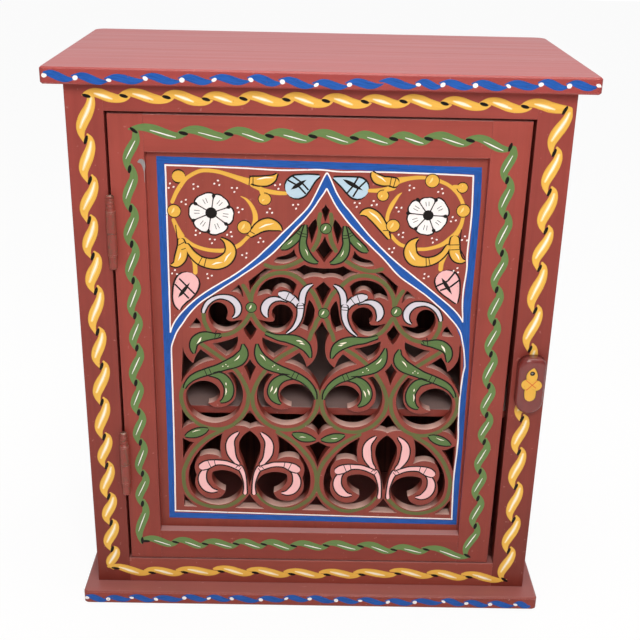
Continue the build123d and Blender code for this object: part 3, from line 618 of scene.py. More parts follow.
@dataclass
class Painter:
    """A brush at work on one flat face of one body, with the films that it has laid so far."""

    area: str
    body: str
    plane: float                          # Y of the face, mm
    paints: dict[Tint, bpy.types.Material]
    slot: str = "painted_wood"
    wood: Wood | None = None
    films: dict[Tint, Film] = field(default_factory=dict)
    strokes: int = 0
    first: float = 0.030                  # mm, thickness of the first coat
    coat: float = 0.017                   # mm, each further coat
    sunk: float = 0.02                    # mm, so that no light gets under a film
    stagger: float = 0.0011               # mm, between strokes of one coat, so that no two share a surface
    shoulder: float = 0.16                # mm, slope at a film's edge
    tremble: float = 0.14                 # mm, unsteadiness of the hand
    wander: float = 0.09                  # how fast it changes, per mm
    thinnest: float = 0.12                # mm, width below which the brush leaves nothing
    turns: int = 12                       # strokes after which the stagger starts again

    def stroke(self, tint: Tint, spine: Spine, coat: int = 0, grow: float = 0.0, step: float = 1.1,
               rounded: bool = True) -> None:
        """Lay one stroke.

        Args:
            tint: The paint.
            spine: Spots that the brush passes.
            coat: Which coat it belongs to; a higher one lies on top.
            grow: Added to the half-width, for an outline under a stroke, mm.
            step: Distance between samples, mm.
            rounded: Whether blunt ends are rounded.
        """
        self.strokes += 1
        seed = self.strokes * 0.618 % 1.0
        samples = smooth(spine, step)
        if rounded:
            samples = cap(samples)
        length, run = 0.0, []
        for i, (x, z, width) in enumerate(samples):
            if i:
                length += math.dist(samples[i - 1][:2], (x, z))
            side = sideways(samples, i)
            shake = noise.noise(Vector((x * self.wander, z * self.wander, self.plane)))
            x, z = x + side.x * shake * self.tremble, z + side.y * shake * self.tremble
            left = right = width + grow
            if self.wood:
                if not self.wood.holds(x, z):
                    self._lay(tint, run, coat, seed)
                    run = []
                    continue
                left = self.wood.reach(x, z, side, left)
                right = self.wood.reach(x, z, -side, right)
            if left + right < self.thinnest:
                self._lay(tint, run, coat, seed)
                run = []
                continue
            run.append((x, z, side, left, right, length))
        self._lay(tint, run, coat, seed)

    def _lay(self, tint: Tint, run: list[tuple], coat: int, seed: float) -> None:
        """Add one unbroken run of samples to its film as a closed prism."""
        if len(run) < 2:
            return
        film = self.films.setdefault(tint, Film())
        low = (self.plane + self.sunk) * MM
        lift = self.first + self.coat * coat + self.stagger * (self.strokes % self.turns)
        high = (self.plane - lift) * MM
        base = len(film.verts)
        for x, z, side, left, right, length in run:
            slope = min(self.shoulder, 0.35 * (left + right) / 2)
            for reach, y in ((left, low), (left - slope, high), (-right + slope, high), (-right, low)):
                film.verts.append(((x + side.x * reach) * MM, y, (z + side.y * reach) * MM))
                film.stroke += (length, reach, seed)
                film.rim.append(reach / max(left, right, 0.05))
        for i in range(len(run) - 1):
            a, b = base + 4 * i, base + 4 * (i + 1)
            for k in range(4):
                film.faces.append((a + k, a + (k + 1) % 4, b + (k + 1) % 4, b + k))
        film.faces.append((base + 3, base + 2, base + 1, base))
        end = base + 4 * (len(run) - 1)
        film.faces.append((end, end + 1, end + 2, end + 3))

    def leaf(self, tint: Tint, leaf: "Leaf", coat: int = 1, light: Tint = Tint.CREAM) -> None:
        """Lay a leaf over its black outline, with its bars, its lines and its lights.

        Args:
            tint: The paint.
            leaf: The leaf.
            coat: Coat of the outline; the leaf, its lines and its lights lie above it.
            light: Paint of the lights.
        """
        coat += 3 * leaf.order
        if leaf.outline:
            self.stroke(Tint.BLACK, leaf.spine, coat, leaf.outline, 0.9)
        self.stroke(tint, leaf.spine, coat + 1, 0.0, 0.9)
        samples = smooth(leaf.spine, 0.5)
        for point in leaf.bars:
            i = min(range(len(samples)), key=lambda k: math.dist(samples[k][:2], point))
            x, z, width = samples[i]
            side = sideways(samples, i) * (width + leaf.outline * 0.6)
            self.line(Tint.BLACK, (x - side.x, z - side.y), (x + side.x, z + side.y), coat + 2, 0.55)
        for a, b in leaf.lines:
            self.line(Tint.BLACK, a, b, coat + 2, leaf.line_width)
        for a, b in leaf.lights:
            self.light(light, a, b, coat + 2, leaf.light_width)

    def line(self, tint: Tint, a: Point, b: Point, coat: int, width: float = 0.35) -> None:
        """Lay a thin line of even width between two points."""
        self.stroke(tint, ((*a, width), (*b, width)), coat, 0.0, 0.8, False)

    def light(self, tint: Tint, a: Point, b: Point, coat: int, width: float = 0.6,
              bow: float = 0.06) -> None:
        """Lay a light that swells in its middle and bows a little."""
        start, end = Vector(a), Vector(b)
        way = end - start
        middle = (start + end) / 2 + Vector((-way.y, way.x)) * bow
        near, far = start.lerp(middle, 0.5), middle.lerp(end, 0.5)
        self.stroke(tint, ((*start, 0.15), (*near, width * 0.85), (*middle, width), (*far, width * 0.7),
                           (*end, 0.12)), coat, 0.0, 0.7)

    def spot(self, tint: Tint, centre: Point, along: float, across: float | None = None, tilt: float = 0.0,
             coat: int = 0) -> None:
        """Lay a round or oval dab.

        Args:
            tint: The paint.
            centre: Its middle.
            along: Half its length, mm.
            across: Half its width, or none for a round one, mm.
            tilt: Direction of its length, degrees anticlockwise from across.
            coat: Which coat it belongs to.
        """
        across = along if across is None else across
        way = Vector((math.cos(math.radians(tilt)), math.sin(math.radians(tilt))))
        turns = [math.pi * (k + 0.5) / 12 for k in range(12)]
        spine = [(centre[0] - way.x * along * math.cos(t), centre[1] - way.y * along * math.cos(t),
                  across * math.sin(t)) for t in turns]
        self.stroke(tint, spine, coat, 0.0, 5.0, False)

    def bead(self, tint: Tint, centre: Point, radius: float, coat: int = 1,
             light: Tint = Tint.CREAM) -> None:
        """Lay a round bead with a black outline and one light on it."""
        self.spot(Tint.BLACK, centre, radius + 0.8, coat=coat)
        self.spot(tint, centre, radius, coat=coat + 1)
        x, z = centre
        self.light(light, (x + radius * 0.05, z + radius * 0.55), (x - radius * 0.45, z - radius * 0.4),
                   coat + 2, radius * 0.17)

    def finish(self) -> list[bpy.types.Object]:
        """Turn the films into objects that ride on the body.

        Returns:
            One object for each paint.
        """
        made = []
        for tint, film in self.films.items():
            name = f"{self.area}_{tint.slug}"
            mesh = bpy.data.meshes.new(name)
            mesh.from_pydata(film.verts, [], film.faces)
            mesh.attributes.new("stroke", "FLOAT_VECTOR", "POINT").data.foreach_set("vector", film.stroke)
            mesh.attributes.new("rim", "FLOAT", "POINT").data.foreach_set("value", film.rim)
            mesh.materials.append(self.paints[tint])
            mesh.update()
            piece = bpy.data.objects.new(name, mesh)
            bpy.context.scene.collection.objects.link(piece)
            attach(piece, self.body)
            log.info("%s: %d faces", name, len(film.faces))
            made.append(piece)
        return made


# ---------------------------------------------------------------- painted ropes
ROPE_PITCH = 40.0            # mm from knot to knot, for which a stroke's shape is given


@dataclass(frozen=True)
class RopeStroke:
    """Shape of one leaf-like stroke of a painted rope, between two knots ROPE_PITCH apart.

    The first number of each spot runs from knot to knot, the second one is to the left of that line.
    """

    spine: tuple[Spot, ...]
    light: tuple[Spot, ...] = ()
    glow: float = 0.0            # added width of the softer light under the light, mm


ROW = RopeStroke(((-4, 0.8, 0.9), (1, 2.6, 2.7), (8, 3.3, 4.2), (16, 1.8, 5.1), (24, -0.9, 5.1),
                  (32, -2.5, 4.3), (39, -2.8, 3.1), (44, -1.9, 1.8), (47, -0.9, 0.5)),
                 ((9, 2.3, 0.3), (14, 1.1, 1.0), (20, -0.6, 1.15), (27, -2.8, 0.3)), 0.75)
FOOT_ROW = RopeStroke(((-8, 3.4, 1.6), (-4, 4.3, 2.8), (3, 4.4, 3.9), (10, 3.1, 4.8), (18, 0.9, 5.0),
                       (26, -1.1, 4.5), (33, -1.4, 3.2), (38, -0.5, 1.6), (43, 0.8, 0.3)),
                      ((4, 3.9, 0.3), (10, 2.4, 1.0), (17, 0.2, 1.2), (25, -2, 0.3)), 0.75)
COLUMN = RopeStroke(((-5, 2.2, 1.3), (-1, 4.1, 3.1), (5, 4.4, 4.3), (11, 2.8, 5.3), (17, 0, 6.0),
                     (23, -2.8, 5.9), (29, -4.6, 5.0), (34, -4.6, 3.6), (39, -3.1, 1.9), (43, -1.6, 0.3)),
                    ((2, 4.6, 0.4), (8, 3.2, 1.0), (15, 0.6, 1.2), (22, -2.6, 0.9), (29, -5.4, 0.3)), 1.1)
GREEN_ROW = RopeStroke(((-4, 1.2, 1.0), (2, 2.9, 2.7), (9, 3.6, 4.0), (16, 2.3, 4.7), (23, -0.3, 4.8),
                        (30, -2.5, 4.3), (36, -2.7, 3.2), (42, -1.2, 1.4)),
                       ((13, 1.2, 0.3), (20, -0.6, 0.6), (27, -2.6, 0.6), (34, -4.4, 0.3)))
GREEN_COLUMN = RopeStroke(((-4, 1.3, 1.6), (2, 3.2, 3.2), (9, 3.7, 4.2), (15, 1.6, 4.9), (22, -1.4, 5.0),
                           (29, -3.4, 4.4), (34, -3.3, 3.4), (39, -2.2, 2.2), (43, -0.6, 0.8)),
                          ((10, 3.2, 0.3), (16, 0.9, 0.6), (23, -1.8, 0.6), (30, -4.4, 0.25)))
EDGE_ROW = RopeStroke(((-5, 1.6, 0.5), (1, 2.3, 1.8), (7, 2.3, 3.2), (14, 1.1, 3.9), (22, -0.9, 3.8),
                       (29, -1.9, 2.9), (35, -1.6, 1.6), (41, -0.5, 0.3)))


def rope(painter: Painter, tint: Tint, form: RopeStroke, knots: Line, light: Tint | None,
         first: int = 0, last: int = 0) -> None:
    """Paint a rope of leaf-like strokes from knot to knot.

    Args:
        painter: The brush.
        tint: The rope's paint.
        form: Shape of its strokes.
        knots: The points between which the strokes lie.
        light: Paint of the lights, or none.
        first: Spots left off the start of the first stroke.
        last: Spots left off the end of the last stroke.
    """
    for i, (a, b) in enumerate(zip(knots, knots[1:])):
        start, way = Vector(a), Vector(b) - Vector(a)
        stretch = way.length / ROPE_PITCH
        way.normalize()
        left = Vector((-way.y, way.x))

        def placed(spots: Iterable[Spot], grow: float = 0.0, swell: float = 1.0) -> list[Spot]:
            """Lay the spots of a stroke between this pair of knots."""
            out = []
            for u, v, width in spots:
                place = start + way * u * stretch + left * v
                out.append((place.x, place.y, width * swell + grow))
            return out

        begin = first if i == 0 else 0
        end = len(form.spine) - (last if i == len(knots) - 2 else 0)
        chance = noise.noise(Vector((a[0] * 0.21, a[1] * 0.21, 3.0)))
        painter.stroke(tint, placed(form.spine[begin:end], 0.0, 1 + 0.1 * chance), i % 2)
        if light and form.light:
            if form.glow:
                painter.stroke(Tint.GLOW, placed(form.light, form.glow), 3)
            painter.stroke(light, placed(form.light, 0.0, 1 - 0.25 * chance), 4)


def dab_knots(painter: Painter, places: Iterable[tuple[float, float, float]], along: float,
              across: float) -> None:
    """Dab the black knots of a rope.

    Args:
        painter: The brush.
        places: Across, height and tilt of each knot.
        along: Half its length, mm.
        across: Half its width, mm.
    """
    for x, z, tilt in places:
        painter.spot(Tint.BLACK, (x, z), along, across, tilt, 6)


def tilted(line: Line, tilt: float) -> list[tuple[float, float, float]]:
    """Give each knot of a line the same tilt."""
    return [(x, z, tilt) for x, z in line]


# ---------------------------------------------------------------- sub-assemblies
@dataclass
class Carcass:
    """The box with its boards and its face frame, and the ropes painted round the front."""

    nodes: dict[str, bpy.types.Object]
    paints: dict[Tint, bpy.types.Material]
    frame_face: float = -117.5
    top_edge: float = -136.5
    base_edge: float = -139.0
    inner: dict[str, Grain] = field(default_factory=lambda: {
        "back_panel": Grain.UPRIGHT, "shelf": Grain.ACROSS, "shelf_cleat_left": Grain.DEPTH,
        "shelf_cleat_right": Grain.DEPTH})
    top: Line = ((-222.5, 570.3), (-187.2, 571), (-146.7, 570.5), (-109.2, 569.3), (-73.8, 570.5),
                 (-33, 570.5), (4.5, 570), (41.5, 570), (78.2, 571), (117.5, 569.9), (155, 569.9),
                 (194.2, 568.4), (236, 569.6))
    foot: Line = ((-223.8, 30.5), (-182.5, 27), (-145, 28.2), (-103.3, 30.2), (-64.2, 29.2), (-22.2, 28),
                  (18.3, 28), (58.3, 28.8), (99.5, 31), (142, 29.2), (181.7, 27.7), (222.5, 25))
    left: Line = ((-222.6, 570.5), (-225.6, 528), (-224.4, 488), (-227.6, 447.4), (-226.4, 409.4),
                  (-225.6, 372), (-226.6, 326.6), (-224.8, 287.6), (-227, 245), (-227, 203), (-226.4, 167),
                  (-226.2, 128), (-225.6, 93.4), (-226.2, 58.4), (-224.5, 32.6))
    right: Line = ((232.8, 565.8), (226.8, 524.4), (226.2, 485), (226.8, 445.4), (224.6, 405.6),
                   (224.8, 359.6), (223.8, 316), (224.4, 272), (223, 233.4), (223.6, 192.6), (224.4, 149),
                   (225.8, 106), (224, 64.4), (222.8, 25))
    top_dots: Line = ((-256.3, 592), (-227.7, 590.3), (-196.8, 588.7), (-163, 591), (-129.2, 590.2),
                      (-99.5, 591), (-65.5, 591.7), (-36.3, 590.5), (-5, 588.3), (25.8, 589.2), (57, 591),
                      (89.5, 590.5), (112.3, 590.7), (142.5, 590.7), (173.3, 590.7), (203.3, 592.8),
                      (229.8, 592), (257, 592.8))
    base_dots: Line = ((-253.8, 7.2), (-229.8, 5.8), (-203.2, 8), (-175.7, 6.5), (-143.5, 8.8),
                       (-115.7, 8.8), (-89.7, 8.8), (-56.7, 8), (-27.8, 10.2), (-1.2, 10.2), (28.8, 8.7),
                       (56.2, 8.7), (87.8, 7.5), (118.3, 7.8), (151, 9.3), (177.2, 7.3), (204.5, 6.5),
                       (233.2, 6.5), (251.5, 6.0))
    top_lost: int = 10                    # the knot of the top edge that has no white dot
    base_lost: int = 18                   # and of the base edge

    def dress(self) -> None:
        """Give the boards their paint, and the inner ones their wash."""
        top = BrushedAlkyd("glossed_alkyd_top", Grain.ACROSS, "#9C3E3B", dust_and_painted_light=0.05, mottle=0.05, rub=0.6,
                           speck=0.4, sheen=0.4, roughness=(0.32, 0.42)).make()
        base = BrushedAlkyd("knocked_alkyd_base", Grain.ACROSS, low="#8A3A31", dust_and_painted_light=0.2, arris=2.4, rub=0.9,
                            speck=1.0).make()
        side = BrushedAlkyd("brushed_alkyd_side", Grain.UPRIGHT).make()
        stile = BrushedAlkyd("brushed_alkyd_stile", Grain.UPRIGHT, rub=0.15, flush=True).make()
        # The rails' paint at the foot is paler than the boards': painted light bounced up from the base
        # board.
        rail = BrushedAlkyd("brushed_alkyd_rail", Grain.ACROSS, low="#8E4034", flush=True).make()
        # The shelf's top takes a grey pink: dusting and painted light from above.
        shelf = BrushedAlkyd("dust_and_painted_light_alkyd_shelf", Grain.ACROSS, dust_and_painted_light=0.9, dust_and_painted_light_tone="#A8918D", rub=0.3).make()
        for name, finish in (("top_board", top), ("base_board", base), ("left_side", side),
                             ("right_side", side), ("face_stile_left", stile), ("face_stile_right", stile),
                             ("face_rail_bottom", rail), ("face_rail_top", rail)):
            paint_node(self.nodes[name], finish)
        washed = {grain: WashedPine(f"washed_pine_{grain.name.lower()}", grain).make() for grain in Grain}
        for name, grain in self.inner.items():
            paint_node(self.nodes[name], shelf if name == "shelf" else washed[grain])

    def paint(self) -> None:
        """Paint the yellow ropes on the face frame and the blue ones on the boards' front edges."""
        front = Painter("frame_rope", "cabinet", self.frame_face, self.paints)
        rope(front, Tint.AMBER, ROW, self.top, Tint.CREAM, last=2)
        rope(front, Tint.AMBER, FOOT_ROW, self.foot, Tint.CREAM)
        rope(front, Tint.AMBER, COLUMN, self.left, Tint.CREAM, 1)
        rope(front, Tint.AMBER, COLUMN, self.right, Tint.CREAM, 1)
        dab_knots(front, tilted(self.top[:-1], -14), 4.3, 1.75)
        dab_knots(front, tilted(self.foot[1:-1], -10), 4.4, 1.7)
        dab_knots(front, tilted(self.left[1:-1], 70), 4.7, 1.8)
        dab_knots(front, tilted(self.right[1:-1], 68), 4.3, 1.75)
        dab_knots(front, ((self.foot[0][0], 32.4, -10), (232.7, 565.7, 62), (222.6, 25, -35)), 4.8, 1.7)
        front.finish()
        for area, plane, dots, lost in (("top_edge", self.top_edge, self.top_dots, self.top_lost),
                                        ("base_edge", self.base_edge, self.base_dots, self.base_lost)):
            edge = Painter(area, "cabinet", plane, self.paints)
            rope(edge, Tint.BLUE, EDGE_ROW, dots, None, 1, 1)
            for i, (x, z) in enumerate(dots):
                if i != lost:
                    edge.spot(Tint.WHITE, (x, z), 2.5, 2.0 + 0.4 * math.sin(2.1 * i),
                              35 * math.sin(1.7 * i), 3)
            edge.finish()


@dataclass
class Door:
    """The framed door with the green rope round it."""

    nodes: dict[str, bpy.types.Object]
    paints: dict[Tint, bpy.types.Material]
    face: float = -117.0
    painted_light_top: str = "#9D443A"                # its paint at the top of the cupboard: painted light
    painted_shade_foot: str = "#84352B"                 # and at the foot, darker as painted shade
    top: Line = ((-179.2, 538), (-131.7, 536.2), (-88, 536.3), (-48.8, 535.2), (-7.2, 535.7), (32.8, 534.8),
                 (70.7, 534.7), (104.5, 535.5), (144.7, 534.7), (183.7, 528.8))
    foot: Line = ((-190, 70), (-154.2, 68.8), (-120.8, 67), (-85.8, 67.7), (-54.3, 67.7), (-20.5, 66.3),
                  (16.3, 67.5), (55.5, 67.2), (93.3, 63.2), (130, 64.3), (177.5, 56.7))
    left: Line = ((-180.5, 538), (-185, 500), (-186, 460), (-186.8, 423), (-187.2, 384), (-187.2, 345.4),
                  (-186.8, 309), (-189.8, 268.4), (-188.4, 233.4), (-188.2, 196.6), (-187.8, 157.6),
                  (-189.4, 119), (-191.6, 70))
    right: Line = ((183.8, 529), (183.6, 496), (185.2, 460), (185.2, 420.8), (183.2, 381.4), (184, 345),
                   (183.4, 309), (184.2, 272), (184.8, 237.4), (184.8, 204.4), (183.2, 167.4),
                   (183.6, 133), (183.4, 96.6), (177.4, 56.6))

    def dress(self) -> None:
        """Give the door's frame its paint, a little paler than the carcass's, with painted light falloff."""
        stile = BrushedAlkyd("door_alkyd_stile", Grain.UPRIGHT, self.painted_light_top, self.painted_shade_foot, rub=0.2,
                             flush=True).make()
        # The rails' faces that look up take a pale pink, dusting and painted highlight; their arrises show
        # the pale ground, wear and painted highlight.
        rail = BrushedAlkyd("door_alkyd_rail", Grain.ACROSS, self.painted_light_top, self.painted_shade_foot, dust_and_painted_light=0.6, rub=0.75,
                            flush=True).make()
        for name, finish in (("door_stile_hinge", stile), ("door_stile_latch", stile),
                             ("door_rail_bottom", rail), ("door_rail_top", rail)):
            paint_node(self.nodes[name], finish)

    def paint(self) -> None:
        """Paint the green rope, and the old chip at the panel's upper corner."""
        front = Painter("door_rope", "door", self.face, self.paints)
        rope(front, Tint.GREEN, GREEN_ROW, self.top, Tint.WHITE)
        rope(front, Tint.GREEN, GREEN_ROW, self.foot, Tint.WHITE)
        rope(front, Tint.GREEN, GREEN_COLUMN, self.left, Tint.WHITE, 1)
        rope(front, Tint.GREEN, GREEN_COLUMN, self.right, Tint.WHITE, 1)
        dab_knots(front, tilted(self.top[1:-1], -12), 4.7, 1.9)
        dab_knots(front, tilted(self.foot[1:-1], -16), 4.3, 1.5)
        dab_knots(front, tilted(self.left[1:-1], 80), 4.2, 1.9)
        dab_knots(front, tilted(self.right[1:-1], 80), 4.0, 1.9)
        dab_knots(front, ((-179.3, 538.2, -38), (-191.7, 70.5, 88), (-187.5, 69.6, 0), (183.8, 529, 75),
                          (177.4, 56.7, -30)), 4.6, 1.7)
        front.stroke(Tint.GREY, ((-177, 507, 0.6), (-173.5, 508, 2.6), (-171.5, 505, 2.0),
                                 (-170.9, 498, 0.5), (-171, 487, 0.25)), 1)
        front.finish()


# The sawn pattern is nearly its own mirror image. Its middle line leans a little and its rows drop a little.
PANEL_MIDDLE = 5.85          # mm across, where the middle line stands
PANEL_FOOT = 107.6           # mm up, where the pattern starts
PANEL_LEAN = 0.008           # mm to the right for each mm up
PANEL_DROP = 0.0185          # mm down for each mm to the right
PANEL_STRETCH = 1.001        # its width over the width that it is laid out with
LEAN_CENTRE = 216.6          # mm above the foot, where the middle line crosses its place


def mirrored(spine: Iterable[tuple[float, ...]], axis: float = 0.0) -> list[tuple[float, ...]]:
    """Mirror points of the panel about an upright axis of its own slightly leaning pattern.

    Args:
        spine: Points or spots.
        axis: The axis, across the pattern from its middle, mm.

    Returns:
        The points on the other side.
    """
    out = []
    for x, z, *rest in spine:
        across, rise = x - PANEL_MIDDLE, z - PANEL_FOOT
        for _ in range(2):
            rise = z - PANEL_FOOT + PANEL_DROP * across
            across = (x - PANEL_MIDDLE - PANEL_LEAN * (rise - LEAN_CENTRE)) / PANEL_STRETCH
        across = 2 * axis - across
        out.append((PANEL_MIDDLE + across * PANEL_STRETCH + PANEL_LEAN * (rise - LEAN_CENTRE),
                    PANEL_FOOT + rise - PANEL_DROP * across, *rest))
    return out


@dataclass(frozen=True)
class Leaf:
    """One leaf: its spine, the bars across it, the black lines and the lights on it."""

    spine: tuple[Spot, ...]
    bars: tuple[Point, ...] = ()                 # points at which a black line crosses the leaf
    lights: tuple[tuple[Point, Point], ...] = ()
    order: int = 0                               # leaves of a higher order lie on top
    lines: tuple[tuple[Point, Point], ...] = ()
    outline: float = 1.5
    light_width: float = 0.6
    line_width: float = 0.55

    def mirrored(self, axis: float = 0.0) -> "Leaf":
        """The same leaf on the other side of an axis of the pattern."""
        return replace(self, spine=tuple(mirrored(self.spine, axis)), bars=tuple(mirrored(self.bars, axis)),
                       lights=tuple(tuple(mirrored(ends, axis)) for ends in self.lights),
                       lines=tuple(tuple(mirrored(ends, axis)) for ends in self.lines))


@dataclass
class FretPanel:
    """The sawn panel: painted border, pointed arch, two spandrels of scrolls and the leaves on the fret."""

    nodes: dict[str, bpy.types.Object]
    paints: dict[Tint, bpy.types.Material]
    face: float = -107.0
    onion_axis: float = -75.0             # mm from the middle line to the middle of the left onion
    inner_left: Line = ((-152.4, 297), (-151.9, 307), (-149.3, 315.7), (-145, 325.7), (-139.3, 334.2),
                        (-133.6, 342.9), (-127.9, 350), (-119.3, 358.6), (-109.3, 365.7), (-99.3, 372.7),
                        (-87.9, 380.7), (-76.4, 389), (-68, 395), (-60, 401.2), (-51.4, 408), (-44.3, 414.4),
                        (-37.1, 422.3), (-30, 430.9), (-22.9, 439.4), (-15.7, 447.3), (-10, 454.4),
                        (-4.3, 462.3), (0, 469.4), (4.3, 475.9), (7.6, 481.8))
    outer_left: Line = ((-152.9, 323), (-149.3, 332.6), (-143.6, 341.6), (-136.4, 350.2), (-127.9, 358.8),
                        (-117.9, 367), (-107.9, 374), (-96.4, 381.4), (-85, 388.8), (-73.6, 397.4),
                        (-67, 403.2), (-60, 409.6), (-51.4, 418.4), (-42.9, 427), (-35.7, 434.8),
                        (-28.6, 442), (-21.4, 449.8), (-14.3, 457.3), (-8.6, 465.1), (-4.3, 473.7),
                        (-0.7, 481.6), (2.9, 489.4), (5.6, 495.2), (7.3, 497.6))
    inner_right: Line = ((158.8, 290), (158.1, 296.3), (156.3, 308.8), (153.8, 320), (151.3, 328.8),
                         (146.3, 336.9), (138.8, 345.6), (131.3, 353.6), (122.5, 361.5), (112.5, 370),
                         (102.5, 377.2), (92.5, 384), (85, 389.7), (77.5, 397.2), (70, 405.8), (64.3, 411.9),
                         (57.1, 418.9), (48.6, 427), (40, 435.9), (31.4, 445.1), (24.3, 453.9),
                         (17.1, 463.9), (11.4, 474.2), (7.6, 481.8))
    outer_right: Line = ((152.9, 340.6), (150, 345.8), (145, 351.9), (137.5, 359.2), (127.5, 367.5),
                         (117.5, 375.6), (107.5, 383.8), (97.5, 391.7), (87.5, 399.7), (78.5, 407.2),
                         (70, 415), (61.4, 423.5), (52.9, 432.2), (45.7, 440.4), (38.6, 449.2),
                         (31.4, 458), (24.3, 466.6), (18.6, 475.3), (14.3, 484.2), (11.4, 490.7),
                         (8.8, 496), (7.3, 497.6))

    def dress(self, finish: bpy.types.Material) -> None:
        """Give the panel its paint."""
        paint_node(self.nodes["carved_panel"], finish)

    def paint(self) -> None:
        """Paint the whole panel."""
        wood = Wood.of(self.nodes["carved_panel"], self.face)
        brush = Painter("panel", "door", self.face, self.paints, "painted_panel", wood)
        self.border(brush)
        self.lines(brush)
        for leaf in PINK_LEAVES:
            for here in (leaf, leaf.mirrored(self.onion_axis)):
                brush.leaf(Tint.PINK, here)
                brush.leaf(Tint.PINK, here.mirrored())
        for tint, leaves in ((Tint.LEAF, GREEN_LEAVES), (Tint.LAVENDER, PALE_HOOKS)):
            for leaf in leaves:
                brush.leaf(tint, leaf)
                brush.leaf(tint, leaf.mirrored())
        for spine in PARTINGS:
            brush.stroke(Tint.BLACK, spine, 7)
            brush.stroke(Tint.BLACK, mirrored(spine), 7)
        for x, z in ((-68, 353), (83, 351), (7.5, 348), (7.5, 440)):
            brush.bead(Tint.LEAF, (x, z), 5.3, 9)
        self.spandrel(brush, LEFT_SCROLLS, LEFT_PETALS, LEFT_DOTS)
        for x, z, radius in ((-144.5, 455.5, 6.4), (-74.5, 440, 6.6), (-54, 469.5, 6.0)):
            brush.bead(Tint.YELLOW, (x, z), radius, 9, Tint.GLOW)
        self.flower(brush, (-107.5, 454.2), 5.9,
                    ((81, 18.3, 20.6), (20, 19, 22.5), (-37.3, 19, 23.0), (-99, 20.2, 21.7),
                     (204.5, 20.2, 22.2), (149, 18.4, 20.6)))
        self.spandrel(brush, RIGHT_SCROLLS, RIGHT_PETALS, RIGHT_DOTS)
        for x, z, radius in ((111.7, 491.5, 6.6), (144.5, 461.5, 6.4), (75, 444.3, 6.4), (63.5, 475.5, 5.4),
                             (142, 485, 5.1)):
            brush.bead(Tint.YELLOW, (x, z), radius, 9, Tint.GLOW)
        for stem in BUD_STEMS:
            brush.stroke(Tint.YELLOW, stem, 12)
        self.flower(brush, (109.7, 456), 5.4,
                    ((125.6, 19.8, 18.4), (66.8, 17.7, 20.8), (-2.3, 17.8, 19.8), (-67.9, 17.5, 20.5),
                     (230.4, 18.7, 21.3), (174.8, 20.6, 21.6)))
        brush.finish()

    def border(self, brush: Painter) -> None:
        """Paint the blue border, the arch and the white lines that edge them."""
        blue = (((-156.3, 511, 4), (-156.3, 400, 4), (-156.3, 320, 4), (-156.8, 290, 3.6),
                 (-157.2, 200, 3.4), (-158.3, 95, 3.2)),
                ((155.9, 506, 3.9), (157.6, 470, 3.7), (157, 400, 3.7), (156, 350, 4.2), (158.2, 320, 3.4),
                 (160, 290, 3), (159.7, 255, 3.3), (160.2, 225, 3.1), (160.8, 190, 2.8), (160, 150, 3.4),
                 (160.9, 92, 3)),
                ((-160.3, 507.4, 3.7), (0, 505, 3.7), (159.7, 502.2, 3.8)),
                ((-161.5, 98.6, 3.6), (0, 96.6, 3.4), (163.8, 94.5, 3)),
                ((-156, 299, 1.5), (-153.6, 309, 2.6), (-151, 318, 3.2),
                 *between(self.inner_left[3:], self.outer_left), (6, 490, 2.4), (7.3, 495.5, 0.3)),
                ((159.6, 298, 1.0), (157, 312, 2.2), (154.2, 325, 3.2), (151.2, 333.5, 4.0),
                 *between(self.inner_right[5:], self.outer_right), (9, 490, 2.4), (7.4, 495.5, 0.3)))
        for spine in blue:
            brush.stroke(Tint.BLUE, spine, 0, step=2.0, rounded=False)
        white = (((-151.6, 502, 0.85), (-152.2, 400, 0.85), (-152.4, 345, 0.8), (-152.9, 323, 0.6)),
                 ((-152.4, 297, 0.85), (-153, 200, 0.85), (-154.4, 103.4, 0.85)),
                 ((151.8, 497.5, 0.85), (152.6, 478, 0.8), (153.2, 457, 0.85), (152.6, 436, 0.8),
                  (151.9, 415, 0.85), (152.6, 400, 0.8), (151.2, 381, 0.85), (150.7, 369, 0.8),
                  (151.3, 357, 0.8), (152.9, 340.6, 0.6)),
                 ((158.8, 290, 0.85), (157.4, 280, 0.85), (156.2, 255, 0.85), (156.5, 225, 0.85),
                  (158, 200, 0.85), (156.6, 150, 0.85), (158, 98, 0.85)),
                 ((-152.4, 502.2, 0.85), (-75, 500.6, 0.8), (-41, 499.3, 0.85), (-17, 499.8, 0.8),
                  (0, 500.4, 0.85), (20, 498.9, 0.8), (40, 499.2, 0.8), (70, 499.3, 0.8), (119, 498.4, 0.8),
                  (152.4, 497.3, 0.8)),
                 ((-155.4, 104.2, 0.8), (0, 101.4, 0.75), (159, 98.9, 0.75)),
                 *(even(line, 0.8) for line in (self.inner_left, self.outer_left, self.inner_right,
                                                self.outer_right)))
        for spine in white:
            brush.stroke(Tint.WHITE, spine, 2, step=2.0, rounded=False)

    def lines(self, brush: Painter) -> None:
        """Paint the olive lines that follow the rings of the fret."""
        for line in OLIVE_LINES:
            spine = even(line, 2.2)
            brush.stroke(Tint.OLIVE, spine, 0)
            brush.stroke(Tint.OLIVE, mirrored(spine), 0)

    def spandrel(self, brush: Painter, scrolls: Iterable[Leaf], petals: Iterable[tuple[Tint, Leaf, tuple]],
                 dots: Line) -> None:
        """Paint the scrolls, the broad leaves and the white dots on one side of the arch.

        Args:
            brush: The brush.
            scrolls: The yellow leaves.
            petals: The broad leaves, each with its paint and the ends of its black lenses.
            dots: Middles of the white dots in threes.
        """
        for leaf in scrolls:
            brush.leaf(Tint.YELLOW, leaf)
        for tint, leaf, lenses in petals:
            brush.leaf(tint, leaf)
            for a, b, width in lenses:
                brush.light(Tint.BLACK, a, b, 4, width, 0.0)
        for i, (x, z) in enumerate(dots):
            for k in range(3):
                a = 1.3 * i + 2 * math.pi * k / 3
                brush.spot(Tint.WHITE, (x + 2.9 * math.cos(a), z + 2.7 * math.sin(a)), 1.1, 0.9, 30 * k, 3)

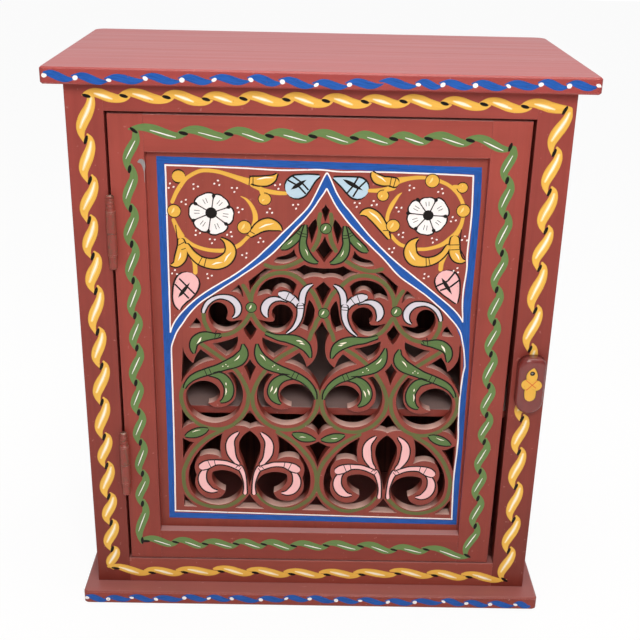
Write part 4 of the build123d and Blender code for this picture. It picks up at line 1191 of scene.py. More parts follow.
    def flower(self, brush: Painter, centre: Point, eye: float, petals: Iterable[Spot]) -> None:
        """Paint a white flower with a black eye, black lines between its petals and a dot at each notch.

        Args:
            brush: The brush.
            centre: Middle of its eye.
            eye: Radius of the eye, mm.
            petals: For each notch, its direction in degrees, its distance from the middle, and the reach of
                the petal that follows it clockwise.
        """
        middle = Vector(centre)
        petals = tuple(petals)
        for (turn, depth, reach), (after, _, _) in zip(petals, petals[1:] + petals[:1]):
            half = math.radians((turn - after) % 360) / 2
            way = Vector((math.cos(math.radians(turn) - half), math.sin(math.radians(turn) - half)))
            side = Vector((-way.y, way.x))
            widest = math.tan(half) * reach * 0.74
            spine = [(*(middle + way * d), math.tan(half) * d * 0.94) for d in (4.5, 8, 11.5, reach * 0.66)]
            spine += [(*(middle + way * reach * d), widest * w)
                      for d, w in ((0.76, 0.97), (0.85, 0.89), (0.92, 0.68), (0.97, 0.38))]
            rim = [(*(middle + (Vector(spot[:2]) - middle) * 1.06), spot[2]) for spot in spine]
            brush.stroke(Tint.BLACK, rim, 3, 1.1, rounded=False)
            brush.stroke(Tint.WHITE, spine, 4, rounded=False)
            for aside in (-1.6, 1.6):
                brush.line(Tint.BLACK, tuple(middle + way * reach * 0.52 + side * aside * 0.8),
                           tuple(middle + way * reach * 0.77 + side * aside), 5, 0.42)
            notch = Vector((math.cos(math.radians(turn)), math.sin(math.radians(turn))))
            brush.stroke(Tint.BLACK, [(*(middle + notch * d), w) for d, w in
                                      ((eye, 0.75), (depth * 0.6, 0.65), (depth - 2.6, 0.9),
                                       (depth - 1, 1.9), (depth + 0.6, 1.8), (depth + 1.8, 0.5))], 6)
        brush.spot(Tint.BLACK, centre, eye, coat=6)


# Short necks by which three of the buds grow out of the scrolls.
BUD_STEMS: tuple[tuple[Spot, ...], ...] = (
    ((-55, 471, 1.8), (-56.5, 475.5, 2.1), (-58, 480, 2.2)),
    ((64, 477, 1.8), (66, 480.5, 2.0), (68, 483, 2.0)),
    ((133.5, 486, 1.9), (137, 485.8, 2.1), (140.5, 485.4, 2.0)),
)

LEFT_SCROLLS: tuple[Leaf, ...] = (
    Leaf(((-138.5, 491, 6.0), (-139.5, 491, 6.0))),
    Leaf(((-70, 487, 3.4), (-80, 490.5, 2.6), (-90, 493.8, 2.2), (-100, 496.5, 2), (-110, 497.6, 2),
          (-118, 496.8, 2), (-126, 493, 2), (-132, 488.5, 2), (-137, 482, 2.2), (-142, 474, 2.1),
          (-146, 465, 2)), order=1, outline=0),
    Leaf(((-145.5, 446, 2), (-142, 437, 2.8), (-138.5, 429, 3.8)), outline=0),
    Leaf(((-135, 426, 2.4), (-129, 421.5, 2), (-120, 417.3, 2), (-110, 415, 2), (-100, 414.5, 2.2),
          (-95, 415, 2.2)), outline=0),
    Leaf(((-84, 418.5, 2.2), (-79, 421.5, 2.2), (-74, 426.5, 1.9), (-70, 431, 2)), outline=0),
    Leaf(((-66, 438, 2.6), (-63.5, 447, 2.6), (-64, 455, 2.4), (-67.5, 463, 1.9), (-72.5, 469, 1.2),
          (-78, 472, 0.3)), outline=0),
    Leaf(((-66, 484, 2.6), (-60, 481, 2.6), (-55, 478.5, 2.4), (-48, 477, 2.4), (-40, 476, 2.2),
          (-33, 475.8, 1.8)), outline=0),
    Leaf(((-131.5, 415, 2.2), (-128, 408, 2.6), (-125.5, 402, 2.4), (-125, 396, 2.4), (-125, 390.5, 2.3)),
         outline=0),
    Leaf(((-66, 488.5, 3.6), (-60, 487.8, 4.4), (-52, 488.2, 4.6), (-46, 490.8, 3.2), (-42.5, 494.5, 0.8),
          (-41.5, 496, 0.2)), (), (((-62, 489.5), (-45, 491.5)),), 1,
         (((-69.5, 484), (-68.5, 493.5)), ((-65.5, 482.5), (-65.5, 492.5))), light_width=1.0),
    Leaf(((-68, 432.5, 2.6), (-64, 436, 3.8), (-60, 439.6, 5), (-55, 442.3, 5.8), (-50, 443.4, 6),
          (-44.5, 442, 5), (-40, 439.8, 3), (-36.8, 437.2, 0.3)), (), (((-60, 439), (-45, 444.5)),), 1,
         (((-72, 437.5), (-64, 433)), ((-72.5, 431.5), (-69, 430.5))), light_width=1.0),
    Leaf(((-138.5, 424, 3), (-137.7, 419, 4.2), (-138.2, 411, 5.6), (-140.3, 404.5, 5.3), (-144, 399.5, 3.4),
          (-148.5, 398, 1), (-150, 398.5, 0.3)), (), (((-139, 412), (-142, 403)),), 1,
         (((-141.5, 419.3), (-134.3, 423.5)), ((-138.5, 414.8), (-134, 416.5)),
          ((-143.5, 441), (-141.8, 420))),
         light_width=0.9),
    Leaf(((-133, 419, 2.4), (-128, 411, 3.2), (-121.5, 404.5, 4), (-116, 401.8, 4.5), (-109, 400.4, 5),
          (-101.5, 400.8, 5.7), (-94.5, 404.2, 6), (-89.5, 410.5, 5.4), (-89, 417, 4.6), (-91.5, 422.5, 2.9),
          (-95, 426, 1.2), (-98.5, 428, 0.2)), ((-119.7, 402.5), (-114.7, 401.3)),
         (((-108, 399.3), (-97, 402)), ((-95, 402.5), (-88, 413))), 1, light_width=1.0),
)

RIGHT_SCROLLS: tuple[Leaf, ...] = (
    Leaf(((75, 490, 4.2), (80, 491.5, 3.2), (88, 493.3, 2.2), (97, 494.5, 2), (104, 494.6, 1.8)), outline=0),
    Leaf(((118, 491.8, 2), (126, 488.5, 1.9), (132, 484.5, 1.9), (137.5, 479, 2), (142, 472, 2),
          (144, 467, 2)),
         outline=0),
    Leaf(((145, 455, 1.8), (143, 445.5, 2.2), (139.5, 438, 2.8), (133.5, 431.5, 3), (127, 426.5, 2.4),
          (120, 423, 2), (110, 420.5, 1.9), (101.5, 420, 1.9)), outline=0),
    Leaf(((68.5, 450, 1.9), (69.5, 457, 2), (72.5, 465, 2.2), (76, 471.5, 1.9), (79.5, 476.5, 1.2),
          (82.3, 478.8, 0.3)), outline=0),
    Leaf(((73, 484, 3), (66, 481.8, 2.6), (58, 480.5, 2.2), (50, 480.3, 1.9)), outline=0),
    Leaf(((74, 434, 1.8), (78, 429, 1.9), (83, 425, 2), (88.5, 422.8, 1.8)), outline=0),
    Leaf(((131, 419, 2.4), (128, 411, 2.6), (126.3, 405, 2.5), (125.8, 399, 2.4)), outline=0),
    Leaf(((74.5, 489, 4.4), (70, 490, 4.1), (63, 490.2, 4.3), (57.5, 492.3, 4.5), (53.8, 496, 3),
          (51.8, 499.6, 0.5)), ((74.5, 489), (70.5, 490)), (((56, 496), (66, 489.5)),), 1, light_width=0.9),
    Leaf(((138, 431, 4.2), (138.3, 424, 5), (139, 417, 5.2), (142, 411.5, 4.6), (146.5, 408.6, 2.6),
          (150, 408.5, 0.8)), ((138.3, 425.3), (138.5, 420)), (((139.5, 417), (144.5, 409)),), 1,
         (((144, 442), (143.5, 422)), ((143.5, 422), (150, 411.5))), light_width=0.9),
    Leaf(((41.3, 455.5, 0.4), (45.5, 457.4, 2.8), (50.5, 457.4, 4.5), (56, 453.8, 5.2), (61.2, 448, 4.9),
          (65.5, 441.8, 3.9), (69, 436, 2.6), (71.5, 431.5, 1.3)), (), (((50, 459), (63.5, 446.5)),), 1,
         (((65, 439), (72, 439.5)), ((71.5, 442.5), (72, 434))), light_width=1.0),
    Leaf(((132, 423, 2.4), (127, 415, 2.6), (120, 409.3, 3.4), (112, 406.7, 4.2), (105, 406.8, 5.2),
          (98.5, 409, 6.2), (94.5, 414, 6.2), (94, 420.5, 5.6), (95.5, 426, 3.6), (99, 430, 1.4),
          (101.5, 431.5, 0.4)), ((114, 407), (110.5, 406.7)), (((99.5, 408), (92.5, 419)),),
         1, light_width=1.0),
)

LEFT_PETALS = (
    (Tint.PINK, Leaf(((-142.3, 348.8, 0.3), (-142.9, 354.5, 4.2), (-141.5, 361, 7.4), (-138.3, 368, 10.4),
                      (-135.6, 373.6, 11.8), (-133.4, 378.7, 12)),
                     lines=(((-141.7, 383.6), (-126.3, 366.9)), ((-146.3, 377.4), (-132.3, 361.9))),
                     outline=1.9, line_width=1.0),
     (((-143.3, 362.6), (-130.8, 379.2), 2.0),)),
    (Tint.SKY, Leaf(((0.5, 494.3, 0.3), (-5, 492.3, 3.0), (-10.5, 489.5, 6.4), (-15.5, 486.5, 9.4),
                     (-19.4, 484.2, 11.2), (-22.5, 482.2, 11.4)),
                    lines=(((-31, 489.4), (-20.7, 483.6)), ((-20.7, 483.6), (-13.2, 475.6)),
                           ((-26.8, 493.8), (-17.1, 486.8)), ((-17.1, 486.8), (-10.6, 479.8))),
                    outline=1.8, line_width=1.0),
     (((-28, 480), (-12.8, 490), 2.1),)),
)

RIGHT_PETALS = (
    (Tint.PINK, Leaf(((145, 361.5, 0.3), (143, 366, 3.4), (140.8, 371, 6.5), (137.8, 376.8, 9.6),
                      (135.2, 381.8, 11.5), (133, 386.2, 11.8)),
                     lines=(((123, 380.4), (134, 386.3)), ((134, 386.3), (140.3, 395.4)),
                            ((126.8, 375.6), (137, 379.8)), ((137, 379.8), (146.4, 387.8))),
                     outline=1.8, line_width=1.1),
     (((127.4, 389.6), (139.4, 371.6), 2.1),)),
    (Tint.SKY, Leaf(((13.5, 492.6, 0.3), (19, 490.7, 2.8), (25, 488.3, 5.5), (30.5, 485.8, 8.2),
                     (35, 483.8, 10.2), (38.4, 482.3, 10.8)),
                    lines=(((28, 477.6), (33.4, 484.6)), ((33.4, 484.6), (38.4, 494)),
                           ((33.6, 473.6), (38.6, 482.4)), ((38.6, 482.4), (46.2, 490))),
                    outline=1.8, line_width=1.0),
     (((23.2, 491.3), (43.4, 480.4), 2.2),)),
)

LEFT_DOTS: Line = ((-123, 481), (-101, 485), (-84, 479), (-147, 481), (-134, 465), (-79, 458), (-49, 457),
                   (-41, 483), (-122, 433), (-89, 432), (-107, 425), (-58, 426), (-74, 410), (-111, 387),
                   (-146, 390), (-23, 463))
RIGHT_DOTS: Line = ((91, 484), (121, 481), (80, 462), (135, 452), (84, 435), (117, 430), (148, 432),
                    (75, 419), (111, 391), (142, 398), (38, 466), (55, 467))

OLIVE_LINES: tuple[Line, ...] = (
    ((-100, 208), (-118, 197), (-133, 180), (-143, 158), (-144, 145), (-142, 132), (-137, 123),
     (-128, 115.5), (-117, 111), (-106, 110), (-96, 111.5), (-86, 117), (-77, 126)),
    ((-40, 207), (-22, 195), (-10, 182), (-1, 168), (3.5, 152), (3, 137), (-2, 125), (-11, 116),
     (-23, 109.5), (-35, 109), (-47, 113.5), (-56, 120), (-61, 127)),
    ((-71, 252), (-73, 238), (-79, 225), (-90, 214), (-103, 209.5), (-116, 211), (-128, 217), (-138, 228),
     (-143, 241), (-143.5, 252), (-140, 262)),
    ((-71, 252), (-74, 262), (-79, 272), (-84, 280), (-90, 286)),
    ((-67.5, 252), (-66, 238), (-60, 226), (-50, 216), (-38, 210.5), (-26, 210), (-14, 214), (-5, 222),
     (1, 233), (3.5, 246), (2, 258)),
    ((-67, 252), (-64, 262), (-59, 272), (-54, 280)),
    ((-121, 311), (-104, 298), (-96, 292)),
    ((-19, 309), (-36, 298), (-43, 292)),
    ((-104, 321), (-96, 321.5), (-88, 324), (-80, 330), (-74, 337), (-69, 346)),
    ((-110, 322), (-114, 329), (-117, 337), (-117.5, 345)),
    ((-36, 320), (-42, 321.5), (-50, 325), (-57, 330), (-62, 337), (-67, 346)),
    ((-7, 318), (-5, 325), (-2, 331), (0, 338), (4, 345)),
    ((4, 352), (1, 360), (-2, 367), (-7, 374), (-12, 378)),
    ((-68, 360), (-67, 368), (-63, 377), (-56, 385), (-47, 390), (-37, 392), (-27, 390.5), (-19, 386),
     (-13, 380)),
    ((-69, 362), (-72, 370), (-76, 377)),
    ((-53, 400), (-45, 397.5), (-35, 398), (-25, 401.5), (-16, 406.5)),
    ((1.5, 455), (0.5, 447), (2, 440), (1, 432), (-1, 425), (-5, 417)),
)

PINK_LEAVES: tuple[Leaf, ...] = (
    Leaf(((-58.3, 206, 0.3), (-55.5, 203, 1.7), (-52.3, 199.5, 2.6), (-49.8, 195, 3.5), (-48.9, 190, 4.2),
          (-49.2, 185, 4.5), (-49.9, 180, 4.3), (-51.7, 175, 3.5), (-54.5, 170, 2.5), (-57.3, 166.3, 2.1))),
    Leaf(((-59.5, 159.8, 2.1), (-55, 162.2, 2.3), (-49.6, 164.4, 2.2), (-44.2, 166, 2.4),
          (-38.4, 166.4, 2.4), (-32.5, 166, 2.9), (-27.3, 164.4, 4.1), (-22, 162, 4.8), (-18.6, 160.2, 4.1)),
         ((-32, 165.9), (-26, 164)), (), 1, (((-58.3, 164.2), (-55, 160.5)),)),
    Leaf(((-24, 158.3, 1.2), (-21, 155, 2.2), (-18.7, 149.5, 3.6), (-18.2, 143.5, 4.2), (-20, 137.5, 4.4),
          (-24, 132.6, 4.1), (-29, 129.9, 2.6), (-35.2, 129.7, 0.5))),
    Leaf(((-60, 161.3, 2.5), (-62.6, 156, 2.3), (-64.6, 149, 1.8), (-65.9, 141, 1.3), (-66.1, 135, 1.4),
          (-65.9, 130, 1.8), (-65.8, 128.4, 1.8)), (), (), 1,
         (((-61.4, 165), (-58.4, 161.8)), ((-61.4, 161.4), (-58.2, 157)))),
)

GREEN_LEAVES: tuple[Leaf, ...] = (
    Leaf(((-141, 199.5, 0.3), (-136, 201.5, 3.2), (-128, 204.5, 4.8), (-120, 207.5, 3.4),
          (-115, 209.5, 0.3)),
         (), (((-133, 205), (-124, 208)),)),
    Leaf(((-24, 205.4, 0.3), (-19.5, 203.6, 3), (-12.5, 201.2, 4.8), (-4, 199.2, 3.4), (2, 198, 0.3)),
         (), (((-16, 201.3), (-9, 200.8)),)),
    Leaf(((-140, 258, 0.7), (-137.5, 263.5, 1.6), (-132.5, 269.5, 2.6), (-126, 273.7, 3.2),
          (-119.5, 276.6, 3.4), (-112, 279.4, 3.6), (-104.5, 282, 3.7), (-96.5, 285.5, 4.4),
          (-88.5, 289, 5.5), (-81.5, 293, 6.1), (-77.5, 298.5, 5.5), (-76, 304, 3.5), (-76.6, 309, 1.5),
          (-76.9, 311.5, 0.3)),
         ((-116.8, 278), (-111.8, 279.4)),
         (((-80.2, 298.2), (-86, 291.5)), ((-98.8, 284.6), (-97.8, 285.4)), ((-95.5, 286.7), (-94.5, 287.5)),
          ((-93.4, 284.5), (-92.4, 285.3))), 1, light_width=0.8),
    Leaf(((-62, 312, 0.3), (-61.5, 306.5, 2.1), (-60, 300, 3.9), (-56.7, 293.7, 5.2), (-51.3, 288.7, 5.5),
          (-44.5, 285, 4.7), (-37.5, 282.3, 3.9), (-30, 279.4, 3.4), (-22.5, 275.8, 3.7),
          (-15.5, 272.4, 3.2), (-9, 267.3, 2.9), (-3.8, 260.8, 2.5), (-0.4, 254, 1.9), (1.2, 247.5, 0.6)),
         ((-24, 276.6), (-19.2, 274.3)),
         (((-58.8, 299.8), (-52.9, 292.5)), ((-45.9, 285), (-44.9, 285.8)), ((-44, 286.9), (-43, 287.7)),
          ((-40.1, 282), (-39.1, 283))), 1, light_width=0.8),
    Leaf(((-112, 276, 2.2), (-106, 274.9, 2.9), (-99.5, 272.5, 3.9), (-95, 267, 4.5), (-92.6, 261, 4.6),
          (-92.3, 254.5, 4.5), (-94, 248.5, 3.9), (-97.8, 244.3, 2.2), (-102, 242.3, 0.4)), (),
         (((-95.6, 266), (-95.3, 262.4)), ((-95.5, 259.8), (-96, 250.8))), light_width=0.8),
    Leaf(((-128.5, 299, 0.3), (-129.3, 304, 2.5), (-129, 309.5, 3.5), (-126.5, 314.3, 4.3),
          (-121.5, 317.8, 4.8), (-115.5, 319.5, 4.5), (-109.5, 319.9, 3.2), (-105.5, 319.9, 2.3),
          (-101, 320.6, 1.7)), (),
         (((-120.5, 318.6), (-125.4, 310.6)),), 0,
         (((-104.6, 326.4), (-106.3, 317.8)), ((-100, 323), (-102.4, 319.2))), light_width=1.1),
    Leaf(((-52, 323.8, 1.5), (-46, 321.4, 1.8), (-39, 319.4, 2.8), (-31, 318.6, 3.8), (-24, 317.2, 4.8),
          (-17, 314.3, 5.1), (-11, 309.5, 4.5), (-7.7, 304, 2.9), (-5.9, 298.5, 1.2), (-5.7, 296.5, 0.3)),
         (), (((-20.8, 316.4), (-13.4, 314.6)), ((-17.4, 313.6), (-11.8, 312))), light_width=0.9),
    Leaf(((-24.5, 274, 2.3), (-30, 273.2, 2.7), (-36.3, 271.3, 3.8), (-41.8, 266.5, 4.6),
          (-44.7, 260.5, 5.0), (-45.2, 254, 4.9), (-43.3, 248, 3.7), (-40, 243.8, 2),
          (-36.2, 241.2, 0.3)), (),
         (((-45.6, 262.9), (-48, 255.4)), ((-41.2, 261.2), (-44.4, 253))), light_width=0.9),
    Leaf(((-15, 443, 0.5), (-18, 436, 2.5), (-22, 430, 3.4), (-28, 424, 3.7), (-33.5, 420, 3.0),
          (-37, 418, 1)), ((-18, 436), (-19.5, 433.5)), (((-26, 427), (-31, 422.5)),)),
    Leaf(((-13, 443, 1), (-14, 434, 2.5), (-15.3, 425, 2.9), (-13.8, 416, 4), (-10, 409.5, 4),
          (-4, 405, 2.2), (0.6, 403.3, 0.3)), ((-14, 434), (-14.5, 431)), (((-13, 418), (-10, 411)),), 1),
)

# Black wedges where the two leaves of a pair part.
PARTINGS: tuple[tuple[Spot, ...], ...] = (
    ((-109, 277.6, 0.4), (-105.5, 278, 0.9), (-101.5, 278.7, 1.3), (-99, 279, 0.4)),
    ((-27, 276.8, 0.4), (-31, 276.9, 0.9), (-35.5, 277, 1.3), (-38.6, 276.8, 0.4)),
)

PALE_HOOKS: tuple[Leaf, ...] = (
    Leaf(((-117.6, 347, 1.4), (-116.9, 350, 1.7), (-113.2, 356.8, 2.0), (-106.8, 362, 1.8),
          (-100.5, 364.2, 1.8), (-94.1, 363.9, 2.4), (-88.6, 362.2, 3.0), (-84.2, 358.4, 3.2),
          (-81.6, 353, 3.2), (-81.9, 347.5, 2.6), (-84.2, 343.4, 1.5), (-87.5, 340.9, 0.3))),
    Leaf(((-31, 361.3, 1.2), (-37.5, 362.6, 1.2), (-43.5, 362.8, 2.3), (-48.5, 360.8, 3.2),
          (-52.2, 357, 3.6), (-54, 351.5, 3.6), (-53.3, 346.5, 2.5), (-51, 342, 0.5))),
    Leaf(((-37.6, 368.4, 2.6), (-35, 367.8, 3.9), (-30.5, 366.3, 4.4), (-25.7, 363.7, 3.8),
          (-21.6, 359.8, 3.0), (-18.8, 355.8, 2.7)), ((-30.3, 366.3), (-25.1, 363)), (), 1),
    Leaf(((-4.3, 380, 0.3), (-9.5, 376.8, 1.9), (-13.2, 372, 2.7), (-15, 366.5, 2.9), (-15.5, 361, 2.8),
          (-16, 356.5, 2.8)), (), (), 1),
    Leaf(((-16.8, 356, 3.1), (-16.8, 353, 3.2), (-16.9, 348, 2.8), (-17.9, 342, 2.5), (-20.6, 335.3, 2.1),
          (-24.3, 329.8, 1.5), (-28.6, 326, 0.9), (-31.2, 324, 0.4)),
         (), (), 2, (((-20.6, 355.6), (-13.5, 356.4)), ((-20.1, 352.6), (-13.8, 353)))),
)


def turned(name: str, profile: Sequence[Point], axis: Point, turns: int = 40) -> bpy.types.Object:
    """Turn a closed solid about an upright axis.

    Args:
        name: Name of the piece.
        profile: Radius and height of its outline from the bottom to the top, mm.
        axis: Where the axis stands, across and deep, mm.
        turns: Facets round it.

    Returns:
        The piece.
    """
    verts, faces = [], []
    for radius, height in profile:
        for k in range(turns):
            a = 2 * math.pi * k / turns
            verts.append(((axis[0] + radius * math.cos(a)) * MM, (axis[1] + radius * math.sin(a)) * MM,
                          height * MM))
    for i in range(len(profile) - 1):
        for k in range(turns):
            n = (k + 1) % turns
            faces.append((i * turns + k, i * turns + n, (i + 1) * turns + n, (i + 1) * turns + k))
    faces.append(tuple(range(turns))[::-1])
    top = (len(profile) - 1) * turns
    faces.append(tuple(range(top, top + turns)))
    mesh = bpy.data.meshes.new(name)
    mesh.from_pydata(verts, [], faces)
    for polygon in mesh.polygons:
        polygon.use_smooth = len(polygon.vertices) == 4
    mesh.update()
    piece = bpy.data.objects.new(name, mesh)
    bpy.context.scene.collection.objects.link(piece)
    return piece


def paint_node(node: bpy.types.Object, material: bpy.types.Material) -> None:
    """Give a solid from model.glb, or one made here, one material."""
    node.data.materials.clear()
    node.data.materials.append(material)


@dataclass
class Hinges:
    """Two barrel hinges painted over with the wood, each with a turned finial."""

    nodes: dict[str, bpy.types.Object]
    axis: Point = (-204.95, -122.35)
    heads: tuple[tuple[str, float], ...] = (("upper", 457.15), ("lower", 193.65))
    finial: tuple[Point, ...] = (
        (4.85, 0), (4.85, 1.2), (4.6, 1.6), (4.1, 1.8), (4.1, 4.6), (3.7, 4.8), (3.7, 5.2), (4.1, 5.4),
        (4.1, 8.2), (3.7, 8.4), (3.7, 8.8), (4.1, 9.0), (4.1, 11.8), (3.7, 12.0), (3.7, 12.4), (4.1, 12.6),
        (4.1, 14.4), (3.2, 14.6), (3.2, 15.2), (3.9, 15.5), (4.05, 16.1), (3.8, 16.8), (3.2, 17.5),
        (2.2, 18.1), (1.0, 18.4))

    def dress(self) -> None:
        """Give the hinges and the fixings their finishes and put the turned finials on."""
        painted, steel = OverpaintedSteel().make(), PolishedByHand().make()
        blackened = OverpaintedSteel("blackened_screw", "#2E2A29", "#3A3532", "#6B6663", "#4A423E",
                                     bared=0.0).make()
        for name, node in self.nodes.items():
            if name == "turn_button_screw":
                paint_node(node, blackened)
            elif "nail" in name or "brad" in name:
                paint_node(node, steel)
            elif name.startswith("hinge"):
                paint_node(node, painted)
        for level, head in self.heads:
            piece = turned(f"turned_finial_{level}", [(r, head + h) for r, h in self.finial], self.axis)
            paint_node(piece, painted)
            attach(piece, "door")
            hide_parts(f"hinge_{level}_finial")


@dataclass
class TurnButton:
    """The wooden turn button, stored with its long arm down, and the motif painted on it."""

    nodes: dict[str, bpy.types.Object]
    paints: dict[Tint, bpy.types.Material]
    pivot: Point = (226.0, 294.0)
    half_width: float = 14.35
    short_arm: float = 16.0
    long_arm: float = 47.6
    rear: float = -118.0
    face: float = -130.8
    arris: float = 3.8                    # mm, round of the worn front arris
    corners: tuple[float, ...] = (8.5, 12.3, 14.0, 14.0)   # from the upper right one anticlockwise

    def ring(self, inset: float, depth: float) -> list[tuple[float, float, float]]:
        """One outline of the button.

        Args:
            inset: Distance inside the full outline, mm.
            depth: Where it lies, mm.

        Returns:
            Its points, anticlockwise from the front.
        """
        x, z = self.pivot
        right, left = x + self.half_width - inset, x - self.half_width + inset
        high, low = z + self.short_arm - inset, z - self.long_arm + inset
        points = []
        for quarter, (across, up, radius) in enumerate(zip((right, left, left, right),
                                                           (high, high, low, low), self.corners)):
            radius -= inset
            cx = across - radius if across > x else across + radius
            cz = up - radius if up > z else up + radius
            for k in range(9):
                turn = math.pi / 2 * (quarter + k / 8)
                points.append(((cx + radius * math.cos(turn)) * MM, depth * MM,
                               (cz + radius * math.sin(turn)) * MM))
        return points

    def build(self, finish: bpy.types.Material) -> None:
        """Shape the button with its worn round front and put it in the place of the plain one.

        Args:
            finish: Its paint.
        """
        turns = [math.pi / 2 * k / 6 for k in range(7)]
        rings = [self.ring(0.0, self.rear)]
        rings += [self.ring(self.arris * (1 - math.cos(t)), self.face + self.arris * (1 - math.sin(t)))
                  for t in turns]
        verts = [point for ring in rings for point in ring]
        count = len(rings[0])
        faces = [(i * count + k, (i + 1) * count + k, (i + 1) * count + (k + 1) % count,
                  i * count + (k + 1) % count)
                 for i in range(len(rings) - 1) for k in range(count)]
        faces += [tuple(range(count)), tuple(range(len(verts) - 1, len(verts) - count - 1, -1))]
        mesh = bpy.data.meshes.new("worn_turn_button")
        mesh.from_pydata(verts, [], faces)
        for polygon in mesh.polygons:
            polygon.use_smooth = len(polygon.vertices) == 4
        mesh.update()
        piece = bpy.data.objects.new("worn_turn_button", mesh)
        bpy.context.scene.collection.objects.link(piece)
        paint_node(piece, finish)
        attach(piece, "turn_button")
        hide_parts("turn_button")

    def paint(self) -> None:
        """Paint the four-lobed motif, given for the button turned across the door and laid down here."""
        brush = Painter("button_motif", "turn_button", self.face, self.paints)

        def down(x: float, z: float, *rest: float) -> tuple[float, ...]:
            """Turn a place of the latched button to where the hanging one has it."""
            return (self.pivot[0] - z, self.pivot[1] + x, *rest)

        lobes = (((-13, 0.2, 2.5), (-16.5, 0.3, 4.9), (-21, 0.5, 6.2), (-26.2, 0.3, 6.0)),
                 ((-12, 0.2, 2.7), (-8, 0.3, 5.0), (-4, 0.2, 6.0), (0, -0.2, 5.4), (3.6, -0.8, 3.2),
                  (6.2, -1.2, 0.6)),
                 ((-13, 0.5, 3.3), (-13, 2.8, 6.0), (-12.9, 4.2, 6.4)),
                 ((-13.2, 0, 3.3), (-13.5, -2.8, 5.9), (-13.7, -4.9, 6.3)))
        for lobe in lobes:
            brush.stroke(Tint.BLACK, [down(*spot) for spot in lobe], 0, 0.6)
        for lobe in lobes:
            brush.stroke(Tint.YELLOW, [down(*spot) for spot in lobe], 1)
        for a, b in (((-19.5, 4.9), (-7.8, -5.9)), ((-7.8, 5.8), (-16.8, -5.2))):
            brush.line(Tint.VERMILION, down(*a), down(*b), 3, 0.5)
        # The black disc round the pivot is painted shadow of the screw's sunk hole, with a grey spot in its
        # middle.
        brush.spot(Tint.BLACK, down(0.0, 0.0), 2.6, coat=4)
        brush.spot(Tint.GREY, down(0.2, 0.2), 1.1, coat=5)
        brush.finish()


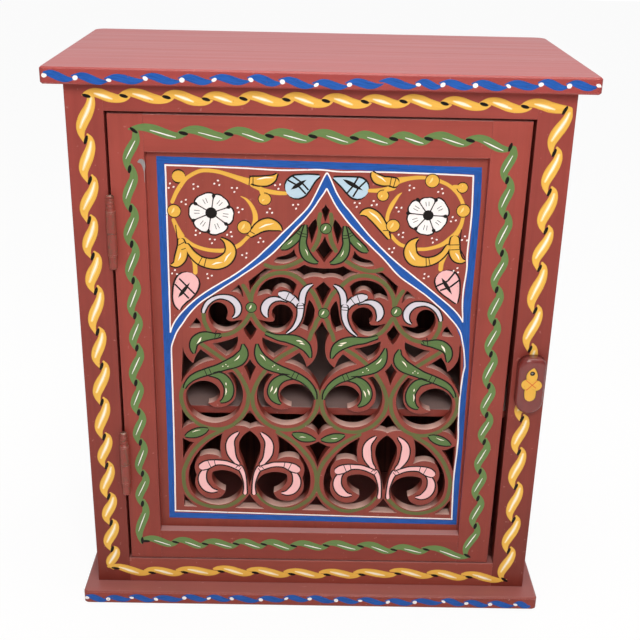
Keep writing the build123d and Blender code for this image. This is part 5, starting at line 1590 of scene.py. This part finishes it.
# ---------------------------------------------------------------- studio
@dataclass
class Studio:
    """Pale floor, soft lights and the camera."""

    eye: tuple[float, float, float] = (-0.0075, -1.1160, 0.7608)
    pitch: float = 22.622
    yaw: float = 0.637
    roll: float = 1.288
    lens: float = 58.96
    floor_size: float = 14.0
    floor_tone: str = "#F4F2F0"
    backlit: float = 0.93                 # share of the floor's white that shines through the paper
    room: float = 0.24                    # strength of the sky in front
    wall: float = 0.9                     # and of the white wall behind

    def build(self) -> None:
        """Set everything up round the cupboard."""
        self.floor()
        self.lights()
        self.camera()
        bpy.context.scene.view_settings.view_transform = "Standard"

    def floor(self) -> None:
        """Lay the pale paper floor."""
        half = self.floor_size / 2
        mesh = bpy.data.meshes.new("studio_floor")
        mesh.from_pydata([(-half, -half, 0), (half, -half, 0), (half, half, 0), (-half, half, 0)], [],
                         [(0, 1, 2, 3)])
        material = bpy.data.materials.new("matt_paper_floor")
        material.use_nodes = True
        tree = material.node_tree
        shader = tree.nodes["Principled BSDF"]
        where = add_node(tree, "ShaderNodeTexCoord").outputs["Object"]
        fibre = add_node(tree, "ShaderNodeTexNoise", None, {"Vector": where, "Scale": 220.0, "Detail": 3.0})
        ridge = add_node(tree, "ShaderNodeBump", None,
                         {"Height": fibre.outputs[0], "Distance": 0.05 * MM, "Strength": 0.5})
        tree.links.new(ridge.outputs[0], shader.inputs["Normal"])
        shader.inputs["Base Color"].default_value = linear(self.floor_tone)
        shader.inputs["Roughness"].default_value = 0.9
        seen = add_node(tree, "ShaderNodeLightPath").outputs["Is Camera Ray"]
        share = add_node(tree, "ShaderNodeMath", {"operation": "MULTIPLY"}, {0: seen, 1: self.backlit})
        glow = add_node(tree, "ShaderNodeEmission", None, {"Color": linear("#FFFFFF"), "Strength": 1.0})
        both = add_node(tree, "ShaderNodeMixShader", None,
                        {0: share.outputs[0], 1: shader.outputs[0], 2: glow.outputs[0]})
        tree.links.new(both.outputs[0], tree.nodes["Material Output"].inputs["Surface"])
        mesh.materials.append(material)
        floor = bpy.data.objects.new("studio_floor", mesh)
        bpy.context.scene.collection.objects.link(floor)

    def lights(self) -> None:
        """Hang the soft lights and set the sky's strength."""
        world = bpy.data.worlds.new("soft_sky")
        world.use_nodes = True
        tree = world.node_tree
        sky = tree.nodes["Background"]
        way = add_node(tree, "ShaderNodeTexCoord").outputs["Generated"]
        back = add_node(tree, "ShaderNodeSeparateXYZ", None, {0: way}).outputs[1]
        glow = add_node(tree, "ShaderNodeMapRange", None,
                        {"Value": back, "From Min": -0.2, "From Max": 0.7,
                         "To Min": self.room, "To Max": self.wall})
        seen = add_node(tree, "ShaderNodeLightPath").outputs["Is Camera Ray"]
        shown = add_node(tree, "ShaderNodeMix", {"data_type": "FLOAT"},
                         {0: seen, 2: glow.outputs[0], 3: 1.2})
        tree.links.new(shown.outputs[0], sky.inputs["Strength"])
        sky.inputs["Color"].default_value = linear("#F6F7FA")
        bpy.context.scene.world = world
        for name, place, size, power in (("key_window", (0.1, -1.2, 1.12), 0.4, 11.2),
                                         ("lamp_above", (0.1, -0.15, 2.2), 1.2, 26.0),
                                         ("fill_left", (-1.9, -1.5, 1.3), 1.6, 5.0)):
            lamp = bpy.data.lights.new(name, "AREA")
            lamp.size, lamp.energy = size, power
            lamp.color = linear("#FFFBF6")[:3]
            hung = bpy.data.objects.new(name, lamp)
            hung.location = place
            way = Vector((0.0, 0.0, 0.3)) - Vector(place)
            hung.rotation_euler = way.to_track_quat("-Z", "Y").to_euler()
            bpy.context.scene.collection.objects.link(hung)

    def camera(self) -> None:
        """Stand the camera where the front is seen slightly from above."""
        pitch, yaw, roll = (math.radians(a) for a in (self.pitch, self.yaw, self.roll))
        ahead = Vector((math.sin(yaw) * math.cos(pitch), math.cos(yaw) * math.cos(pitch), -math.sin(pitch)))
        across = Vector((math.cos(yaw), -math.sin(yaw), 0.0))
        up = across.cross(ahead)
        right = across * math.cos(roll) + up * math.sin(roll)
        top = -across * math.sin(roll) + up * math.cos(roll)
        data = bpy.data.cameras.new("camera")
        data.lens, data.sensor_width, data.clip_start = self.lens, 36.0, 0.05
        camera = bpy.data.objects.new("camera", data)
        turn = Matrix((right, top, -ahead)).transposed().to_4x4()
        camera.matrix_world = Matrix.Translation(self.eye) @ turn
        bpy.context.scene.collection.objects.link(camera)
        bpy.context.scene.camera = camera


def main() -> None:
    """Build the dressed cupboard and its studio."""
    logging.basicConfig(level=logging.INFO, format="%(message)s")
    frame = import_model()
    nodes = frame["nodes"]
    paints = {tint: SignwriterPaint(tint).make() for tint in Tint}
    carcass = Carcass(nodes, paints)
    carcass.dress()
    carcass.paint()
    door = Door(nodes, paints)
    door.dress()
    door.paint()
    panel = FretPanel(nodes, paints)
    # The panel's paint is paler at the top and darker at the foot, painted light falloff; its faces that
    # look up, the sawn edges of the fret, take a pale pink: dusting and painted light from above.
    panel.dress(BrushedAlkyd("brushed_alkyd_panel", Grain.UPRIGHT, "#964338", "#82382E", dust_and_painted_light=1.0,
                             dust_and_painted_light_tone="#E8C0B4", rub=0.3).make())
    panel.paint()
    Hinges(nodes).dress()
    button = TurnButton(nodes, paints)
    # The button's arrises show the pale ground, wear and a painted highlight along them.
    button.build(BrushedAlkyd("polished_alkyd_button", Grain.UPRIGHT, "#7A2F2B", "#6E2926", "#C9A8A4",
                              roughness=(0.16, 0.28), rub=0.8, arris=2.0, dust_and_painted_light=0.1, sheen=0.6).make())
    button.paint()
    Studio().build()


if __name__ == "__main__":
    main()
